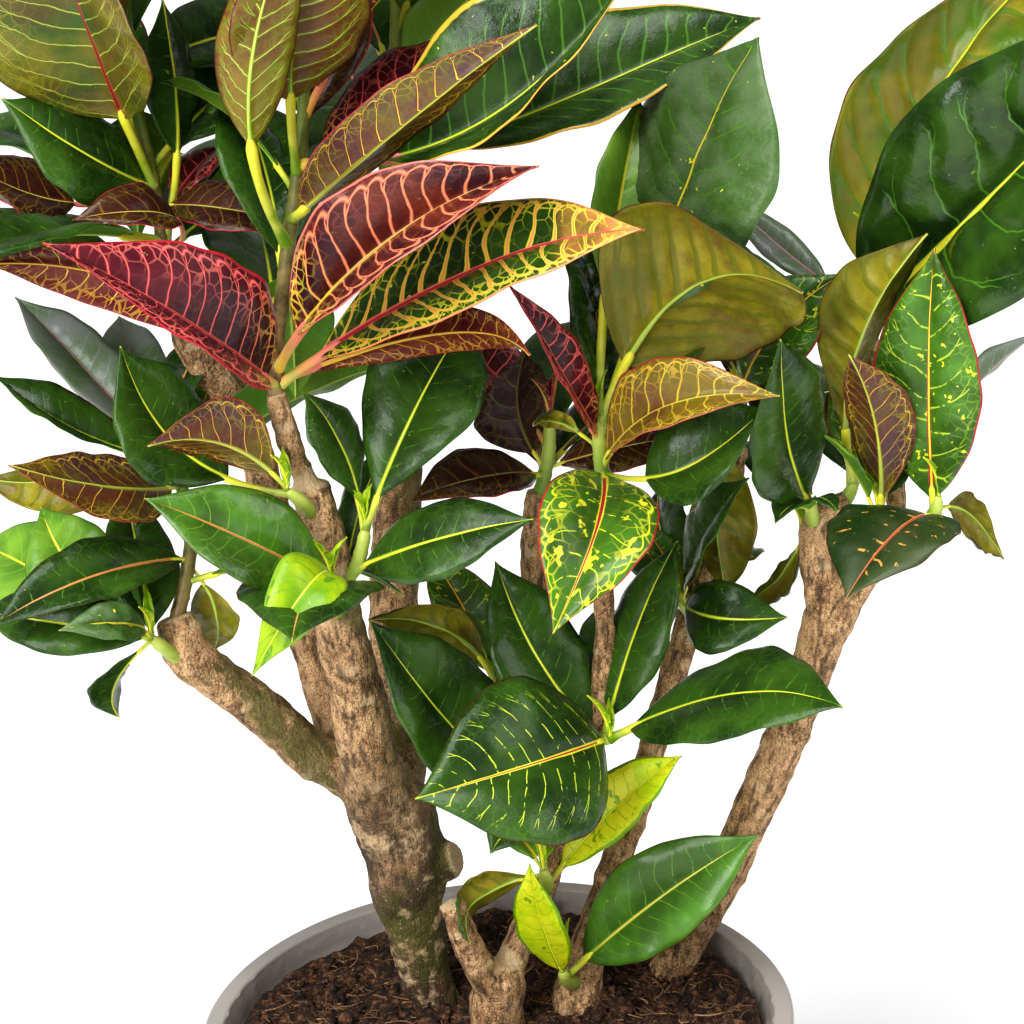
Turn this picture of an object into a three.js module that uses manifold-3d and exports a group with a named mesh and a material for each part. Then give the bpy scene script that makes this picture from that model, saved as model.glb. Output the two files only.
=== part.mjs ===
// A potted croton: four woody plants in one plastic pot, each branched low down, with
// broad leathery leaves at the ends of its branches. Millimetres, +Z up. The origin is the
// middle of the pot's underside. The front of the plant faces -Y and its right side +X.

import * as THREE from 'three';
import { mergeVertices } from 'three/addons/utils/BufferGeometryUtils.js';
import Module from 'manifold-3d';

const wasm = await Module();
wasm.setup();

// Pot
const POT_HEIGHT = 240;
const RIM_RADIUS = 135;          // outside of the rim, a 27 cm container
const RIM_BAND = 20;             // height of the thick band under the rim
const RIM_LAND = 9;              // width of the rim's flat top
const SHOULDER_RADIUS = 124;     // outside of the wall just under the band
const BASE_RADIUS = 97;          // outside of the wall at the underside
const WALL = 2.6;
const FLOOR = 3.5;
const POT_SIDES = 38;
const DRAIN_SLOTS = 12;
const DRAIN_WIDTH = 3.5;
const DRAIN_LENGTH = 32;
const DRAIN_RADIUS = 60;         // from the middle to the middle of a slot

// Soil
const SOIL_TOP = 231;            // 9 mm below the rim
const SOIL_BUMP = 2.2;           // how far its lumps rise and fall
const SOIL_RINGS = [36, 72, 108];

// Clearances between pieces that touch on the real plant
const GAP = 0.35;

// Wood and leaves
const LIMB_SIDES = 8;
const STEM_SIDES = 6;
const STEM_RADIUS = 3.4;
const PETIOLE = 1.7;             // half its thickness
const RIB_THICK = 2.0;           // blade thickness over the midrib
const WIDEST = 0.46;             // where a blade is widest, as a share of its length
const STATIONS = [0.12, 0.34, 0.58, 0.82];
const GOLDEN_TURN = 137.5;       // degrees between one leaf and the next up a stem

const COLOURS = {
  pot: 0x9d9a98, soil: 0x4a3529, wood: 0x8d7660, green: 0x2f5a2b, wine: 0x7d3b3a,
  lime: 0xb5bd2c, olive: 0x7d8030,
};

// Each plant's limbs. A limb is a row of points up its middle: x, y, z and its radius there.
const PLANTS = {
  wood_left: {
    trunk: [[-20, 38, 150, 14], [-23, 38, 195, 14.5], [-27, 38, 213, 14], [-32, 36, 238, 12.5],
      [-36, 34, 267, 13.5], [-38, 32, 291, 17.5], [-38, 30, 312, 20], [-42, 30, 330, 20],
      [-47, 30, 345, 18]],
    old_cut: [[-30, 30, 303, 11], [-14, 25, 309, 8]],
    left_arm: [[-46, 30, 343, 15], [-62, 30, 353, 12], [-77, 26, 365, 10.5], [-93, 20, 387, 10.5],
      [-110, 14, 406, 10], [-124, 10, 422, 10.5], [-129, 13, 440, 8.5]],
    front_arm: [[-47, 24, 340, 16], [-50, 10, 374, 13], [-52, 2, 404, 12.5], [-56, -6, 436, 11],
      [-58, -10, 459, 10], [-59, -12, 478, 9.5], [-62, -12, 495, 9], [-63, -12, 506, 8.5]],
    twig: [[-61, -12, 486, 7], [-65, -12, 507, 5], [-70, -14, 524, 5], [-74, -16, 548, 4.6]],
    mossy_arm: [[-49, 38, 336, 13], [-63, 42, 362, 9], [-71, 45, 387, 8], [-76, 50, 414, 8],
      [-82, 56, 447, 8], [-89, 60, 485, 8], [-99, 60, 522, 8.5], [-112, 58, 545, 8.5],
      [-120, 54, 574, 7.5]],
    back_arm: [[-44, 40, 331, 15], [-37, 58, 352, 12], [-37, 70, 374, 11], [-37, 82, 405, 11.5],
      [-35, 88, 432, 11.5], [-31, 92, 460, 11], [-29, 94, 481, 10], [-30, 94, 508, 9],
      [-32, 90, 537, 8], [-31, 86, 571, 7], [-27, 80, 604, 6]],
  },
  wood_front: {
    trunk: [[0, 6, 155, 12], [0, 6, 209, 12.5], [0, 6, 227, 12], [0, 5, 243, 12],
      [2, 4, 257, 12.5], [4, 6, 264, 8]],
    stub: [[1, 2, 249, 9], [-5, -3, 265, 7.5], [-11, -7, 282, 6.8], [-15, -8, 297, 6.5],
      [-17, -8, 303, 6]],
    arm: [[3, 6, 250, 10], [9, 10, 265, 7], [17, 15, 280, 6.5], [27, 18, 298, 5.8],
      [32, 20, 317, 5.6], [38, 18, 340, 5.5], [49, 12, 367, 5.2], [55, 12, 388, 5],
      [58, 16, 415, 5], [59, 16, 443, 4.8], [61, 14, 472, 4.6], [61, 12, 492, 4.6]],
    back_arm: [[32, 19, 314, 5], [32, 38, 339, 6.3], [28, 52, 368, 6.6], [28, 60, 399, 6.8],
      [29, 62, 428, 7], [31, 62, 452, 6.8], [34, 60, 471, 6]],
  },
  wood_middle: {
    trunk: [[37, 22, 155, 13], [37, 22, 193, 13.5], [37, 23, 212, 12.5], [37, 26, 231, 12],
      [44, 32, 254, 9], [52, 40, 275, 7.5], [63, 46, 301, 7.2], [72, 50, 323, 6.8],
      [81, 54, 351, 6.6], [92, 60, 383, 6.5], [101, 64, 408, 6.5], [111, 66, 433, 6],
      [118, 66, 459, 5.5], [124, 64, 486, 5]],
  },
  wood_right: {
    trunk: [[58, 52, 155, 11], [65, 52, 193, 11.5], [71, 52, 206, 11], [78, 52, 222, 9.5],
      [93, 50, 248, 9.3], [109, 48, 277, 9.4], [120, 47, 303, 9.6], [127, 46, 320, 10],
      [139, 44, 349, 10], [148, 42, 373, 10], [156, 40, 396, 10.5], [161, 40, 413, 11],
      [162, 40, 420, 8]],
    left_fork: [[162, 40, 402, 10], [157, 40, 426, 8.5], [156, 40, 440, 8.3], [155, 40, 452, 7.5],
      [160, 42, 459, 6], [170, 46, 463, 5]],
    right_fork: [[160, 38, 404, 9.5], [170, 34, 424, 7.6], [181, 32, 438, 6.8], [193, 32, 447, 6],
      [201, 30, 453, 5.4], [206, 28, 458, 5]],
    far_twig: [[187, 32, 441, 5], [192, 42, 456, 4.6], [190, 52, 483, 4.5], [187, 58, 509, 4.4],
      [184, 62, 527, 4.2], [184, 64, 541, 4]],
  },
};

// Leafy shoots. stem: points up its middle, from inside the wood that carries it. leaves: a row
// for each leaf that shows from the front, as
//   [height up the stem 0 to 1, bearing, rise, length, width, arch, sweep, roll, fold, petiole,
//    where it is widest, if not WIDEST]
// Bearing is in degrees round from the right (90 is the back, -90 the front) and rise is degrees
// above level. Arch lifts the middle of the leaf and sweep carries it sideways. Roll turns the
// blade about its length and fold raises its two halves into a V.
// more: the leaves behind and above them, which follow the spiral of the stem. keeps lists the
// joints of the spiral that still have their leaf, clear of the shoots beside them.
const SHOOTS = {
  low_left_shoot: {
    wood: 'wood_left', colour: 'green', stem: [[-123, 10, 416], [-132, 0, 429], [-138, -5, 438]],
    leaves: [
      [0.98, 103, 43, 72, 34, 1, 0, 15, 12, 5],
      [0.97, 172, 10, 78, 32, 10, -4, -44, 12, 4],
      [0.9, 138, 36, 84, 44, 4, -8, -36, 12, 8],
      [1.0, -145, 20, 45, 20, 12, -2, -45, 15, 7],
      [0.95, 153, -60, 46, 27, 2, -12, 5, 18, 6],
      [0.65, 142, 15, 119, 54, 8, 0, -40, 14, 12],
    ],
  },
  left_shoot: {
    wood: 'wood_left', colour: 'green',
    stem: [[-129, 12, 437], [-124, 20, 453], [-121, 31, 468], [-122, 42, 483], [-132, 51, 500],
      [-137, 54, 511]],
    leaves: [
      [0.30, 25, -80, 44, 28, 0, -9, 150, 8, 10],
      [0.32, -149, -4, 94, 34, 11, 0, -35, 20, 4],
      [0.71, -140, 20, 90, 38, -10, 14, 140, 0, 8],
      [0.93, 143, 38, 99, 32, 0, 0, -20, 25, 9],
      [1.0, 104, 26, 83, 30, 3, 0, 0, 15, 8],
      [0.85, 166, 28, 85, 32, 0, -10, -12, 30, 14],
      [0.78, 158, -6, 100, 32, 4, 0, 150, 10, 10],
      [0.74, -3, 25, 125, 52, 9, 0, -35, 14, 12],
    ],
    more: { seed: 12, count: 8, height: [0.2, 1], bearing: [0, 130], rise: [0, 65], length: [60, 105],
      keeps: [0, 4, 6] },
  },
  stump_shoot: {
    wood: 'wood_left', colour: 'green', stem: [[-62, -13, 490], [-66, -24, 501], [-72, -28, 509]],
    leaves: [
      [0.88, 165, 43, 94, 50, -15, -10, -28, 5, 25],
      [0.94, -156, 29, 67, 40, 6, -8, 60, 28, 10],
    ],
  },
  front_low_shoot: {
    wood: 'wood_left', colour: 'green', stem: [[-58, -10, 443], [-55, -22, 455], [-56, -31, 468]],
    leaves: [
      [0.91, -161, 35, 92, 43, 8, -2, -56, 16, 5],
      [0.9, -122, -15, 63, 30, 32, 2, -35, 12, 9],
      [0.66, -101, 9, 75, 62, 9, 2, 0, 5, 4],
    ],
  },
  front_side_shoot: {
    wood: 'wood_left', colour: 'green',
    stem: [[-56, -9, 459], [-47, -17, 468], [-43, -18, 479], [-41, -16, 487]],
    leaves: [
      [0.82, 166, 73, 68, 35, 3, 5, -15, 0, 18, 0.53],
      [0.94, 42, 50, 102, 54, 12, 2, 24, 6, 13, 0.57],
      [0.4, -23, 20, 88, 36, 8, 2, 48, 0, 8],
      [0.27, 66, 38, 73, 28, 5, 0, -29, 14, 7],
    ],
  },
  red_shoot: {
    wood: 'wood_left', colour: 'wine',
    stem: [[-74, -16, 546], [-72, -12, 569], [-68, -8, 589], [-65, -5, 605], [-59, 0, 633],
      [-54, 5, 661], [-52, 8, 690], [-50, 10, 722], [-48, 12, 752]],
    leaves: [
      [0.05, -26, 37, 154, 58, 12, -8, 66, 44, 23],
      [0.02, -25, 25, 182, 56, -4, -19, 39, 16, 22],
      [0.03, -30, 11, 125, 22, 34, 2, -85, 24, 8],
      [0.02, -143, 40, 128, 62, 16, -10, -57, 36, 10, 0.38],
      [0.03, -173, 28, 130, 28, 11, -16, 105, 12, 20],
      [0.3, -67, 73, 144, 34, 15, -15, 152, -23, 52],
      [0.44, -67, 66, 122, 60, -2, -6, 179, 12, 37],
      [0.35, -30, 36, 148, 35, -15, 15, -38, 24, 10],
      [0.46, -10, 30, 167, 82, -7, 28, 42, 39, 36],
      [0.26, 95, -61, 78, 36, 5, 0, 8, 14, 8],
    ],
    more: { seed: 16, count: 34, height: [0.05, 1], bearing: [-180, 180], rise: [5, 72], length: [90, 150],
      keeps: [2, 12, 15, 17, 18, 21, 23, 25, 26, 27, 28, 29, 30, 32] },
  },
  top_left_shoot: {
    wood: 'wood_left', colour: 'green',
    stem: [[-120, 54, 572], [-122, 50, 599], [-123, 46, 623], [-126, 42, 654], [-127, 40, 684],
      [-126, 39, 716]],
    leaves: [
      [0.36, -126, 69, 133, 92, 5, 3, 188, 28, 38],
      [0.36, -156, 38, 77, 48, 7, -10, -50, 0, 6],
      [0.34, -162, 16, 78, 37, -8, -5, -34, 10, 34],
      [0.12, -118, 29, 72, 28, 24, -9, -43, 18, 34],
      [0.23, 47, 35, 50, 26, 4, 0, 0, 12, 14],
      [0.18, -20, 85, 106, 30, -10, 0, -21, 10, 42],
      [0.3, -26, -5, 71, 31, 5, 0, 32, 14, 7],
      [0.63, 103, -53, 91, 35, 6, 0, 0, 14, 9],
      [0.72, 57, -1, 106, 39, 7, 0, 44, 14, 11],
    ],
    more: { seed: 17, count: 22, height: [0.05, 1], bearing: [-180, 180], rise: [0, 72], length: [85, 140],
      keeps: [0, 2, 3, 4, 5, 7, 10, 13, 15, 16, 18, 19] },
  },
  top_back_shoot: {
    wood: 'wood_left', colour: 'green',
    stem: [[-27, 80, 602], [-22, 78, 640], [-17, 76, 671], [-14, 74, 708]],
    leaves: [
      [0.15, 3, 19, 176, 66, 3, 6, 35, 22, 30],
    ],
    more: { seed: 18, count: 22, height: [0.05, 1], bearing: [-180, 180], rise: [0, 72], length: [90, 150],
      keeps: [2, 7, 9, 10, 12, 14, 15, 17, 18, 19] },
  },
  heart_shoot: {
    wood: 'wood_front', colour: 'green', stem: [[61, 12, 490], [60, 10, 508], [60, 10, 521]],
    leaves: [
      [0.16, -109, -28, 90, 53, 17, -5, -20, 20, 4],
      [0.64, -143, 62, 88, 25, 4, -5, -68, 33, 6],
      [0.2, -32, 27, 95, 43, 16, -5, 50, 36, 7],
      [0.85, -37, 35, 126, 92, 28, 16, -60, 8, 22],
      [1.0, 65, 62, 141, 38, 3, -6, 50, 25, 52],
      [0.73, -1, 67, 181, 110, -7, -15, 25, -2, 41, 0.57],
      [0.15, -20, 24, 78, 50, 7, 18, 46, 22, 22],
      [0.5, -157, 29, 35, 11, 8, 0, 60, 20, 10],
      [0.63, 96, 55, 100, 45, 7, 0, 41, 14, 10],
    ],
    more: { seed: 19, count: 10, height: [0.2, 1], bearing: [10, 170], rise: [0, 70], length: [80, 120],
      keeps: [1, 3] },
  },
  middle_shoot: {
    wood: 'wood_front', colour: 'green', stem: [[51, 12, 371], [55, 2, 374], [58, -6, 377]],
    leaves: [
      [0.4, 146, 57, 91, 45, 2, -8, -25, 8, 8],
      [0.75, -144, 3, 102, 76, 14, -3, -54, 6, 4],
      [0.65, 34, 62, 93, 37, 4, 0, 7, -5, 11],
      [0.93, -35, 19, 121, 58, 3, -13, 23, 0, 11],
    ],
    more: { seed: 20, count: 4, height: [0.4, 1], bearing: [40, 140], rise: [0, 60], length: [60, 90],
      keeps: [1] },
  },
  low_middle_shoot: {
    wood: 'wood_front', colour: 'green', stem: [[35, 19, 328], [28, 18, 337], [21, 17, 344]],
    leaves: [
      [0.95, -155, 55, 121, 58, 6, -12, -60, 12, 15],
      [0.68, -128, -15, 40, 24, 4, 0, -20, 12, 7],
    ],
    more: { seed: 21, count: 4, height: [0.5, 1], bearing: [60, 200], rise: [0, 60], length: [60, 90],
      keeps: [3] },
  },
  back_middle_shoot: {
    wood: 'wood_front', colour: 'olive', stem: [[28, 53, 371], [17, 45, 378], [9, 38, 384]],
    leaves: [
      [1.0, -150, 40, 81, 22, 0, -14, 65, 16, 20],
    ],
    more: { seed: 22, count: 6, height: [0.3, 1], bearing: [60, 200], rise: [-10, 60], length: [60, 100],
      keeps: [3, 4, 5] },
  },
  back_centre_shoot: {
    wood: 'wood_front', colour: 'wine', stem: [[34, 60, 469], [39, 60, 490], [40, 60, 506]],
    leaves: [
      [0.35, -174, 83, 56, 42, 1, 8, 118, 10, 9],
      [0.26, -134, 9, 84, 32, 6, 0, -30, 14, 8],
      [0.35, 19, 3, 67, 25, 5, 0, 51, 14, 7],
    ],
    more: { seed: 23, count: 14, height: [0.1, 1], bearing: [20, 200], rise: [-10, 70], length: [70, 110],
      keeps: [1, 3, 4, 6, 7] },
  },
  right_back_shoot: {
    wood: 'wood_middle', colour: 'green', stem: [[124, 64, 484], [126, 64, 507], [128, 64, 528]],
    leaves: [
      [0.3, -128, -80, 80, 36, -14, 0, 178, 14, 15],
      [0.55, -15, 51, 74, 40, 12, -3, 64, 5, 8],
    ],
    more: { seed: 24, count: 14, height: [0.1, 1], bearing: [-20, 180], rise: [-10, 70], length: [70, 110],
      keeps: [1, 4, 7] },
  },
  right_low_shoot: {
    wood: 'wood_middle', colour: 'green', stem: [[101, 64, 405], [97, 53, 414], [94, 44, 421]],
    leaves: [
      [0.8, -36, 3, 54, 34, 12, 6, 60, 12, 4],
      [0.9, -27, 62, 71, 40, 4, 0, 32, 12, 5],
      [0.31, 97, 27, 79, 39, 6, 0, -45, 14, 8],
    ],
    more: { seed: 25, count: 4, height: [0.4, 1], bearing: [0, 150], rise: [-10, 50], length: [50, 80],
      keeps: [1, 2] },
  },
  bud_shoot: {
    wood: 'wood_middle', colour: 'lime', stem: [[41, 29, 240], [34, 14, 247], [31, 3, 259]],
    leaves: [
      [0.9, -123, 70, 70, 26, 4, 0, 190, 12, 4],
      [0.75, -12, 40, 117, 45, 3, -3, 66, 13, 14],
    ],
  },
  low_centre_shoot: {
    wood: 'wood_front', colour: 'lime', stem: [[25, 17, 292], [26, 7, 303], [25, 1, 312]],
    leaves: [
      [0.3, -16, 47, 95, 30, -7, -7, 55, 16, 12],
      [0.85, -133, -13, 53, 24, 18, 6, 80, 18, 5],
    ],
    more: { seed: 27, count: 3, height: [0.4, 1], bearing: [30, 180], rise: [0, 40], length: [50, 80],
      keeps: [1, 2] },
  },
  fork_shoot: {
    wood: 'wood_right', colour: 'green', stem: [[155, 40, 450], [153, 34, 463], [152, 32, 470]],
    leaves: [
      [0.7, -107, 61, 106, 52, -2, -6, 240, 4, 9],
      [0.6, -125, 12, 34, 20, 5, 0, 0, 22, 4],
      [0.9, -64, 5, 22, 12, 3, 0, 0, 15, 5],
    ],
    more: { seed: 28, count: 6, height: [0.3, 1], bearing: [60, 200], rise: [0, 60], length: [50, 85],
      keeps: [1, 5] },
  },
  fork_back_shoot: {
    wood: 'wood_right', colour: 'olive', stem: [[156, 42, 437], [153, 51, 441], [151, 56, 444]],
    leaves: [
      [0.9, 172, -50, 42, 28, 3, 0, 170, 10, 6],
    ],
  },
  upright_shoot: {
    wood: 'wood_right', colour: 'olive', stem: [[168, 45, 461], [172, 46, 467], [175, 48, 472]],
    leaves: [
      [0.85, -36, 73, 124, 46, -4, 18, -43, 43, 24, 0.62],
    ],
    more: { seed: 29, count: 5, height: [0.3, 1], bearing: [30, 150], rise: [0, 65], length: [60, 100],
      keeps: [1, 4] },
  },
  right_inner_shoot: {
    wood: 'wood_right', colour: 'green', stem: [[182, 31, 437], [181, 28, 452], [182, 26, 463]],
    leaves: [
      [0.8, -170, 62, 51, 26, 3, 0, 0, 10, 14],
      [0.88, -120, 71, 90, 36, 3, -5, 11, 34, 10],
      [0.93, 60, 50, 34, 16, 3, 0, 30, 20, 10],
    ],
  },
  right_end_shoot: {
    wood: 'wood_right', colour: 'green', stem: [[205, 28, 457], [207, 26, 464], [208, 25, 470]],
    leaves: [
      [0.3, -95, 86, 122, 48, 0, -2, 160, 8, 8],
      [0.25, -127, -8, 79, 58, 11, -3, -2, 8, 7],
      [0.5, 4, -42, 40, 32, 0, 14, 205, 0, 7],
      [0.75, 30, 49, 89, 32, 14, -5, -58, 14, 25],
    ],
  },
  far_right_shoot: {
    wood: 'wood_right', colour: 'green',
    stem: [[184, 64, 539], [184, 63, 549], [184, 61, 560], [185, 60, 572]],
    leaves: [
      [0.1, -40, 45, 206, 100, -11, -2, 89, 25, 3, 0.42],
      [0.45, 15, 58, 167, 89, 19, 8, -93, -17, 8, 0.36],
      [0.21, 130, 24, 95, 18, -7, -1, -33, 9, 28],
    ],
    more: { seed: 32, count: 18, height: [0.1, 1], bearing: [-180, 180], rise: [0, 72], length: [80, 130],
      keeps: [] },
  },
};

function toSolid(geometry) {
  const bare = geometry.clone();
  for (const name of Object.keys(bare.attributes)) if (name !== 'position') bare.deleteAttribute(name);
  const merged = mergeVertices(bare, 1e-4);
  return new wasm.Manifold(new wasm.Mesh({
    numProp: 3,
    vertProperties: new Float32Array(merged.attributes.position.array),
    triVerts: new Uint32Array(merged.index.array),
  }));
}

function toGeometry(solid) {
  const mesh = solid.getMesh();
  const geometry = new THREE.BufferGeometry();
  geometry.setAttribute('position', new THREE.BufferAttribute(mesh.vertProperties, 3));
  geometry.setIndex(new THREE.BufferAttribute(mesh.triVerts, 1));
  geometry.computeVertexNormals();
  return geometry;
}

// A closed skin over a row of rings with the same number of points. The last ring may be a
// single point, which closes the skin in a tip.
function skin(rings) {
  const points = rings.flat();
  const sides = rings[0].length;
  const index = [];
  for (let i = 0; i + 1 < rings.length; i++) {
    const a = i * sides;
    for (let k = 0; k < sides; k++) {
      const next = (k + 1) % sides;
      if (rings[i + 1].length === 1) index.push(a + k, a + next, a + sides);
      else index.push(a + k, a + next, a + sides + next, a + k, a + sides + next, a + sides + k);
    }
  }
  for (let k = 1; k + 1 < sides; k++) index.push(0, k + 1, k);
  const last = rings[rings.length - 1];
  const top = points.length - last.length;
  for (let k = 1; k + 1 < last.length; k++) index.push(top, top + k, top + k + 1);
  const geometry = new THREE.BufferGeometry();
  geometry.setAttribute('position', new THREE.Float32BufferAttribute(points.flatMap((p) => p.toArray()), 3));
  geometry.setIndex(index);
  return geometry;
}

// A round limb through points [x, y, z, radius], grown all over by the amount given.
function limb(points, sides, grow = 0) {
  const middle = points.map(([x, y, z]) => new THREE.Vector3(x, y, z));
  const last = middle.length - 1;
  const start = middle[0].clone().sub(middle[1]).setLength(grow);
  const end = middle[last].clone().sub(middle[last - 1]).setLength(grow);
  const rings = middle.map((centre, i) => {
    const along = middle[Math.min(i + 1, last)].clone().sub(middle[Math.max(i - 1, 0)]).normalize();
    const across = new THREE.Vector3(0, 1, 0).cross(along).normalize();
    const over = along.clone().cross(across);
    const at = centre.clone();
    if (i === 0) at.add(start);
    if (i === last) at.add(end);
    const radius = points[i][3] + grow;
    return Array.from({ length: sides }, (_, k) => {
      const turn = (2 * Math.PI * (k + (i % 2) / 2)) / sides;
      return at.clone().addScaledVector(across, radius * Math.cos(turn))
        .addScaledVector(over, radius * Math.sin(turn));
    });
  });
  return skin(rings);
}

function stemPoint(stem, height) {
  const points = stem.map((p) => new THREE.Vector3(...p));
  const lengths = points.slice(1).map((p, i) => p.distanceTo(points[i]));
  let left = height * lengths.reduce((sum, l) => sum + l, 0);
  let i = 0;
  while (i < lengths.length - 1 && left > lengths[i]) left -= lengths[i++];
  return points[i].clone().lerp(points[i + 1], Math.min(left / lengths[i], 1));
}

// Half the blade's width at a share t of its length, as a share of its greatest half width.
function outline(t, widest) {
  const skewed = Math.pow(t, Math.log(0.5) / Math.log(widest));
  return Math.pow(Math.sin(Math.PI * skewed), 0.8);
}

// One leaf on its petiole, from the middle of the stem out to its pointed tip.
function leaf(stem, row) {
  const [height, bearing, rise, length, width, arch, sweep, roll, fold, petiole,
    widest = WIDEST] = row;
  const root = stemPoint(stem, height);
  const rad = THREE.MathUtils.degToRad;
  const along = new THREE.Vector3(Math.cos(rad(bearing)) * Math.cos(rad(rise)),
    Math.sin(rad(bearing)) * Math.cos(rad(rise)), Math.sin(rad(rise)));
  const level = along.clone().cross(new THREE.Vector3(0, 0, 1)).normalize();
  const left = level.clone().applyAxisAngle(along, rad(roll));
  const face = left.clone().cross(along);
  const stalk = petiole / length;
  const ring = (s, half, thick) => {
    const bow = 4 * s * (1 - s);
    const middle = root.clone().addScaledVector(along, length * s)
      .addScaledVector(face, arch * bow).addScaledVector(left, sweep * bow);
    const out = half * Math.cos(rad(fold));
    const up = half * Math.sin(rad(fold));
    return [
      middle.clone().addScaledVector(left, out).addScaledVector(face, up),
      middle.clone().addScaledVector(face, -thick / 2),
      middle.clone().addScaledVector(left, -out).addScaledVector(face, up),
      middle.clone().addScaledVector(face, thick / 2),
    ];
  };
  const rings = [ring(0, PETIOLE, 2 * PETIOLE), ring(stalk, PETIOLE, 2 * PETIOLE)];
  for (const t of STATIONS) {
    const half = Math.max((width / 2) * outline(t, widest), PETIOLE);
    rings.push(ring(stalk + (1 - stalk) * t, half, RIB_THICK));
  }
  rings.push([ring(1, 0, 0)[0]]);
  return skin(rings);
}

// A random number from 0 to 1 that is the same each time for the same seed.
function dice(seed) {
  let state = seed >>> 0;
  return () => {
    state = (Math.imul(state, 1664525) + 1013904223) >>> 0;
    return state / 4294967296;
  };
}

// The leaves of a shoot that follow the spiral of the stem, as rows like those above.
function spiralLeaves(more) {
  if (!more) return [];
  const roll = dice(more.seed);
  const rows = [];
  for (let k = 0; k < more.count; k++) {
    const u = more.count > 1 ? k / (more.count - 1) : 1;
    const turn = ((k * GOLDEN_TURN) / 360) % 1;
    const mix = (range, share) => range[0] + (range[1] - range[0]) * share;
    const bearing = mix(more.bearing, turn) + 16 * (roll() - 0.5);
    const rise = mix(more.rise, u) + 14 * (roll() - 0.5);
    const length = mix(more.length, 1 - u) * (0.9 + 0.2 * roll());
    const twist = 40 * (roll() - 0.5);
    if (!more.keeps.includes(k)) continue;
    rows.push([mix(more.height, u), bearing, rise, length, length * 0.43, length * 0.09,
      0, twist, 14, length * 0.13]);
  }
  return rows;
}

function mesh(name, geometry, colour, roughness) {
  const material = new THREE.MeshStandardMaterial({ color: colour, roughness, metalness: 0 });
  const result = new THREE.Mesh(geometry, material);
  result.name = name;
  return result;
}

// Radius of the pot's inside at a height above its underside.
function potInside(z) {
  const share = (z - FLOOR) / (POT_HEIGHT - RIM_BAND - FLOOR);
  return BASE_RADIUS - WALL + (SHOULDER_RADIUS - BASE_RADIUS) * Math.min(share, 1);
}

function makePot() {
  const under = POT_HEIGHT - RIM_BAND;
  const profile = [
    [0, 0], [BASE_RADIUS - 3, 0], [BASE_RADIUS, 3], [SHOULDER_RADIUS, under - 3],
    [RIM_RADIUS - 2, under], [RIM_RADIUS, under + 2], [RIM_RADIUS, POT_HEIGHT - 1.5],
    [RIM_RADIUS - 1.5, POT_HEIGHT], [RIM_RADIUS - RIM_LAND, POT_HEIGHT],
    [RIM_RADIUS - RIM_LAND - 1.5, POT_HEIGHT - 1.5], [potInside(under) + 0.6, under + 1],
    [potInside(under), under - 1], [potInside(FLOOR), FLOOR], [0, FLOOR],
  ].map(([r, z]) => new THREE.Vector2(r, z));
  const lathe = new THREE.LatheGeometry(profile, POT_SIDES).rotateX(Math.PI / 2);
  let pot = toSolid(lathe);
  const slot = new THREE.BoxGeometry(DRAIN_LENGTH, DRAIN_WIDTH, 4 * FLOOR);
  for (let k = 0; k < DRAIN_SLOTS; k++) {
    const turn = (2 * Math.PI * (k + 0.5)) / DRAIN_SLOTS;
    const cut = slot.clone().translate(DRAIN_RADIUS, 0, FLOOR / 2).rotateZ(turn);
    pot = pot.subtract(toSolid(cut));
  }
  return mesh('pot', toGeometry(pot), COLOURS.pot, 0.55);
}

function makeSoil() {
  const bottom = FLOOR + GAP;
  const ring = (radius, height) => Array.from({ length: POT_SIDES }, (_, k) => {
    const turn = (2 * Math.PI * k) / POT_SIDES;
    const x = radius * Math.sin(turn);
    const y = radius * Math.cos(turn);
    const lump = height < SOIL_TOP ? 0
      : SOIL_BUMP * (Math.sin(x * 0.11 + 1.3) * Math.cos(y * 0.13) + 0.6 * Math.sin(x * 0.31 + y * 0.27));
    return new THREE.Vector3(x, y, height + lump);
  });
  const edge = SOIL_TOP - 2 * SOIL_BUMP;
  const rings = [ring(potInside(bottom) - 2 * GAP, bottom), ring(potInside(edge) - 2 * GAP, edge - 1),
    ...SOIL_RINGS.slice().reverse().map((radius) => ring(radius, SOIL_TOP)),
    [new THREE.Vector3(0, 0, SOIL_TOP)]];
  let soil = toSolid(skin(rings.map((r) => r.slice().reverse())));
  for (const plant of Object.values(PLANTS)) {
    soil = soil.subtract(toSolid(limb(plant.trunk, LIMB_SIDES, GAP)));
  }
  return mesh('soil', toGeometry(soil), COLOURS.soil, 1);
}

function plantSolid(plant, grow = 0) {
  return Object.values(plant).map((points) => toSolid(limb(points, LIMB_SIDES, grow)))
    .reduce((joined, next) => joined.add(next));
}

function makeShoot(name, { wood, colour, stem, leaves, more }) {
  const tube = stem.map(([x, y, z], i) => [x, y, z, STEM_RADIUS * (1 - (0.35 * i) / stem.length)]);
  let shoot = toSolid(limb(tube, STEM_SIDES));
  for (const row of [...leaves, ...spiralLeaves(more)]) shoot = shoot.add(toSolid(leaf(stem, row)));
  shoot = shoot.subtract(plantSolid(PLANTS[wood], GAP));
  return mesh(name, toGeometry(shoot), COLOURS[colour], 0.35);
}

const croton = new THREE.Group();
croton.name = 'potted_croton';
croton.add(makePot(), makeSoil());
for (const [name, plant] of Object.entries(PLANTS)) {
  croton.add(mesh(name, toGeometry(plantSolid(plant)), COLOURS.wood, 0.9));
}
for (const [name, shoot] of Object.entries(SHOOTS)) croton.add(makeShoot(name, shoot));

export default croton;
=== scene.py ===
"""A potted croton: woody branching stems, broad leathery leaves in green, wine and olive, dark
peat and a plastic nursery pot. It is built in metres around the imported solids."""

import math

import bmesh
import bpy
import numpy as np
from bpy.props import FloatProperty, FloatVectorProperty, IntProperty, PointerProperty
from mathutils import Matrix, Vector, noise


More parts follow.
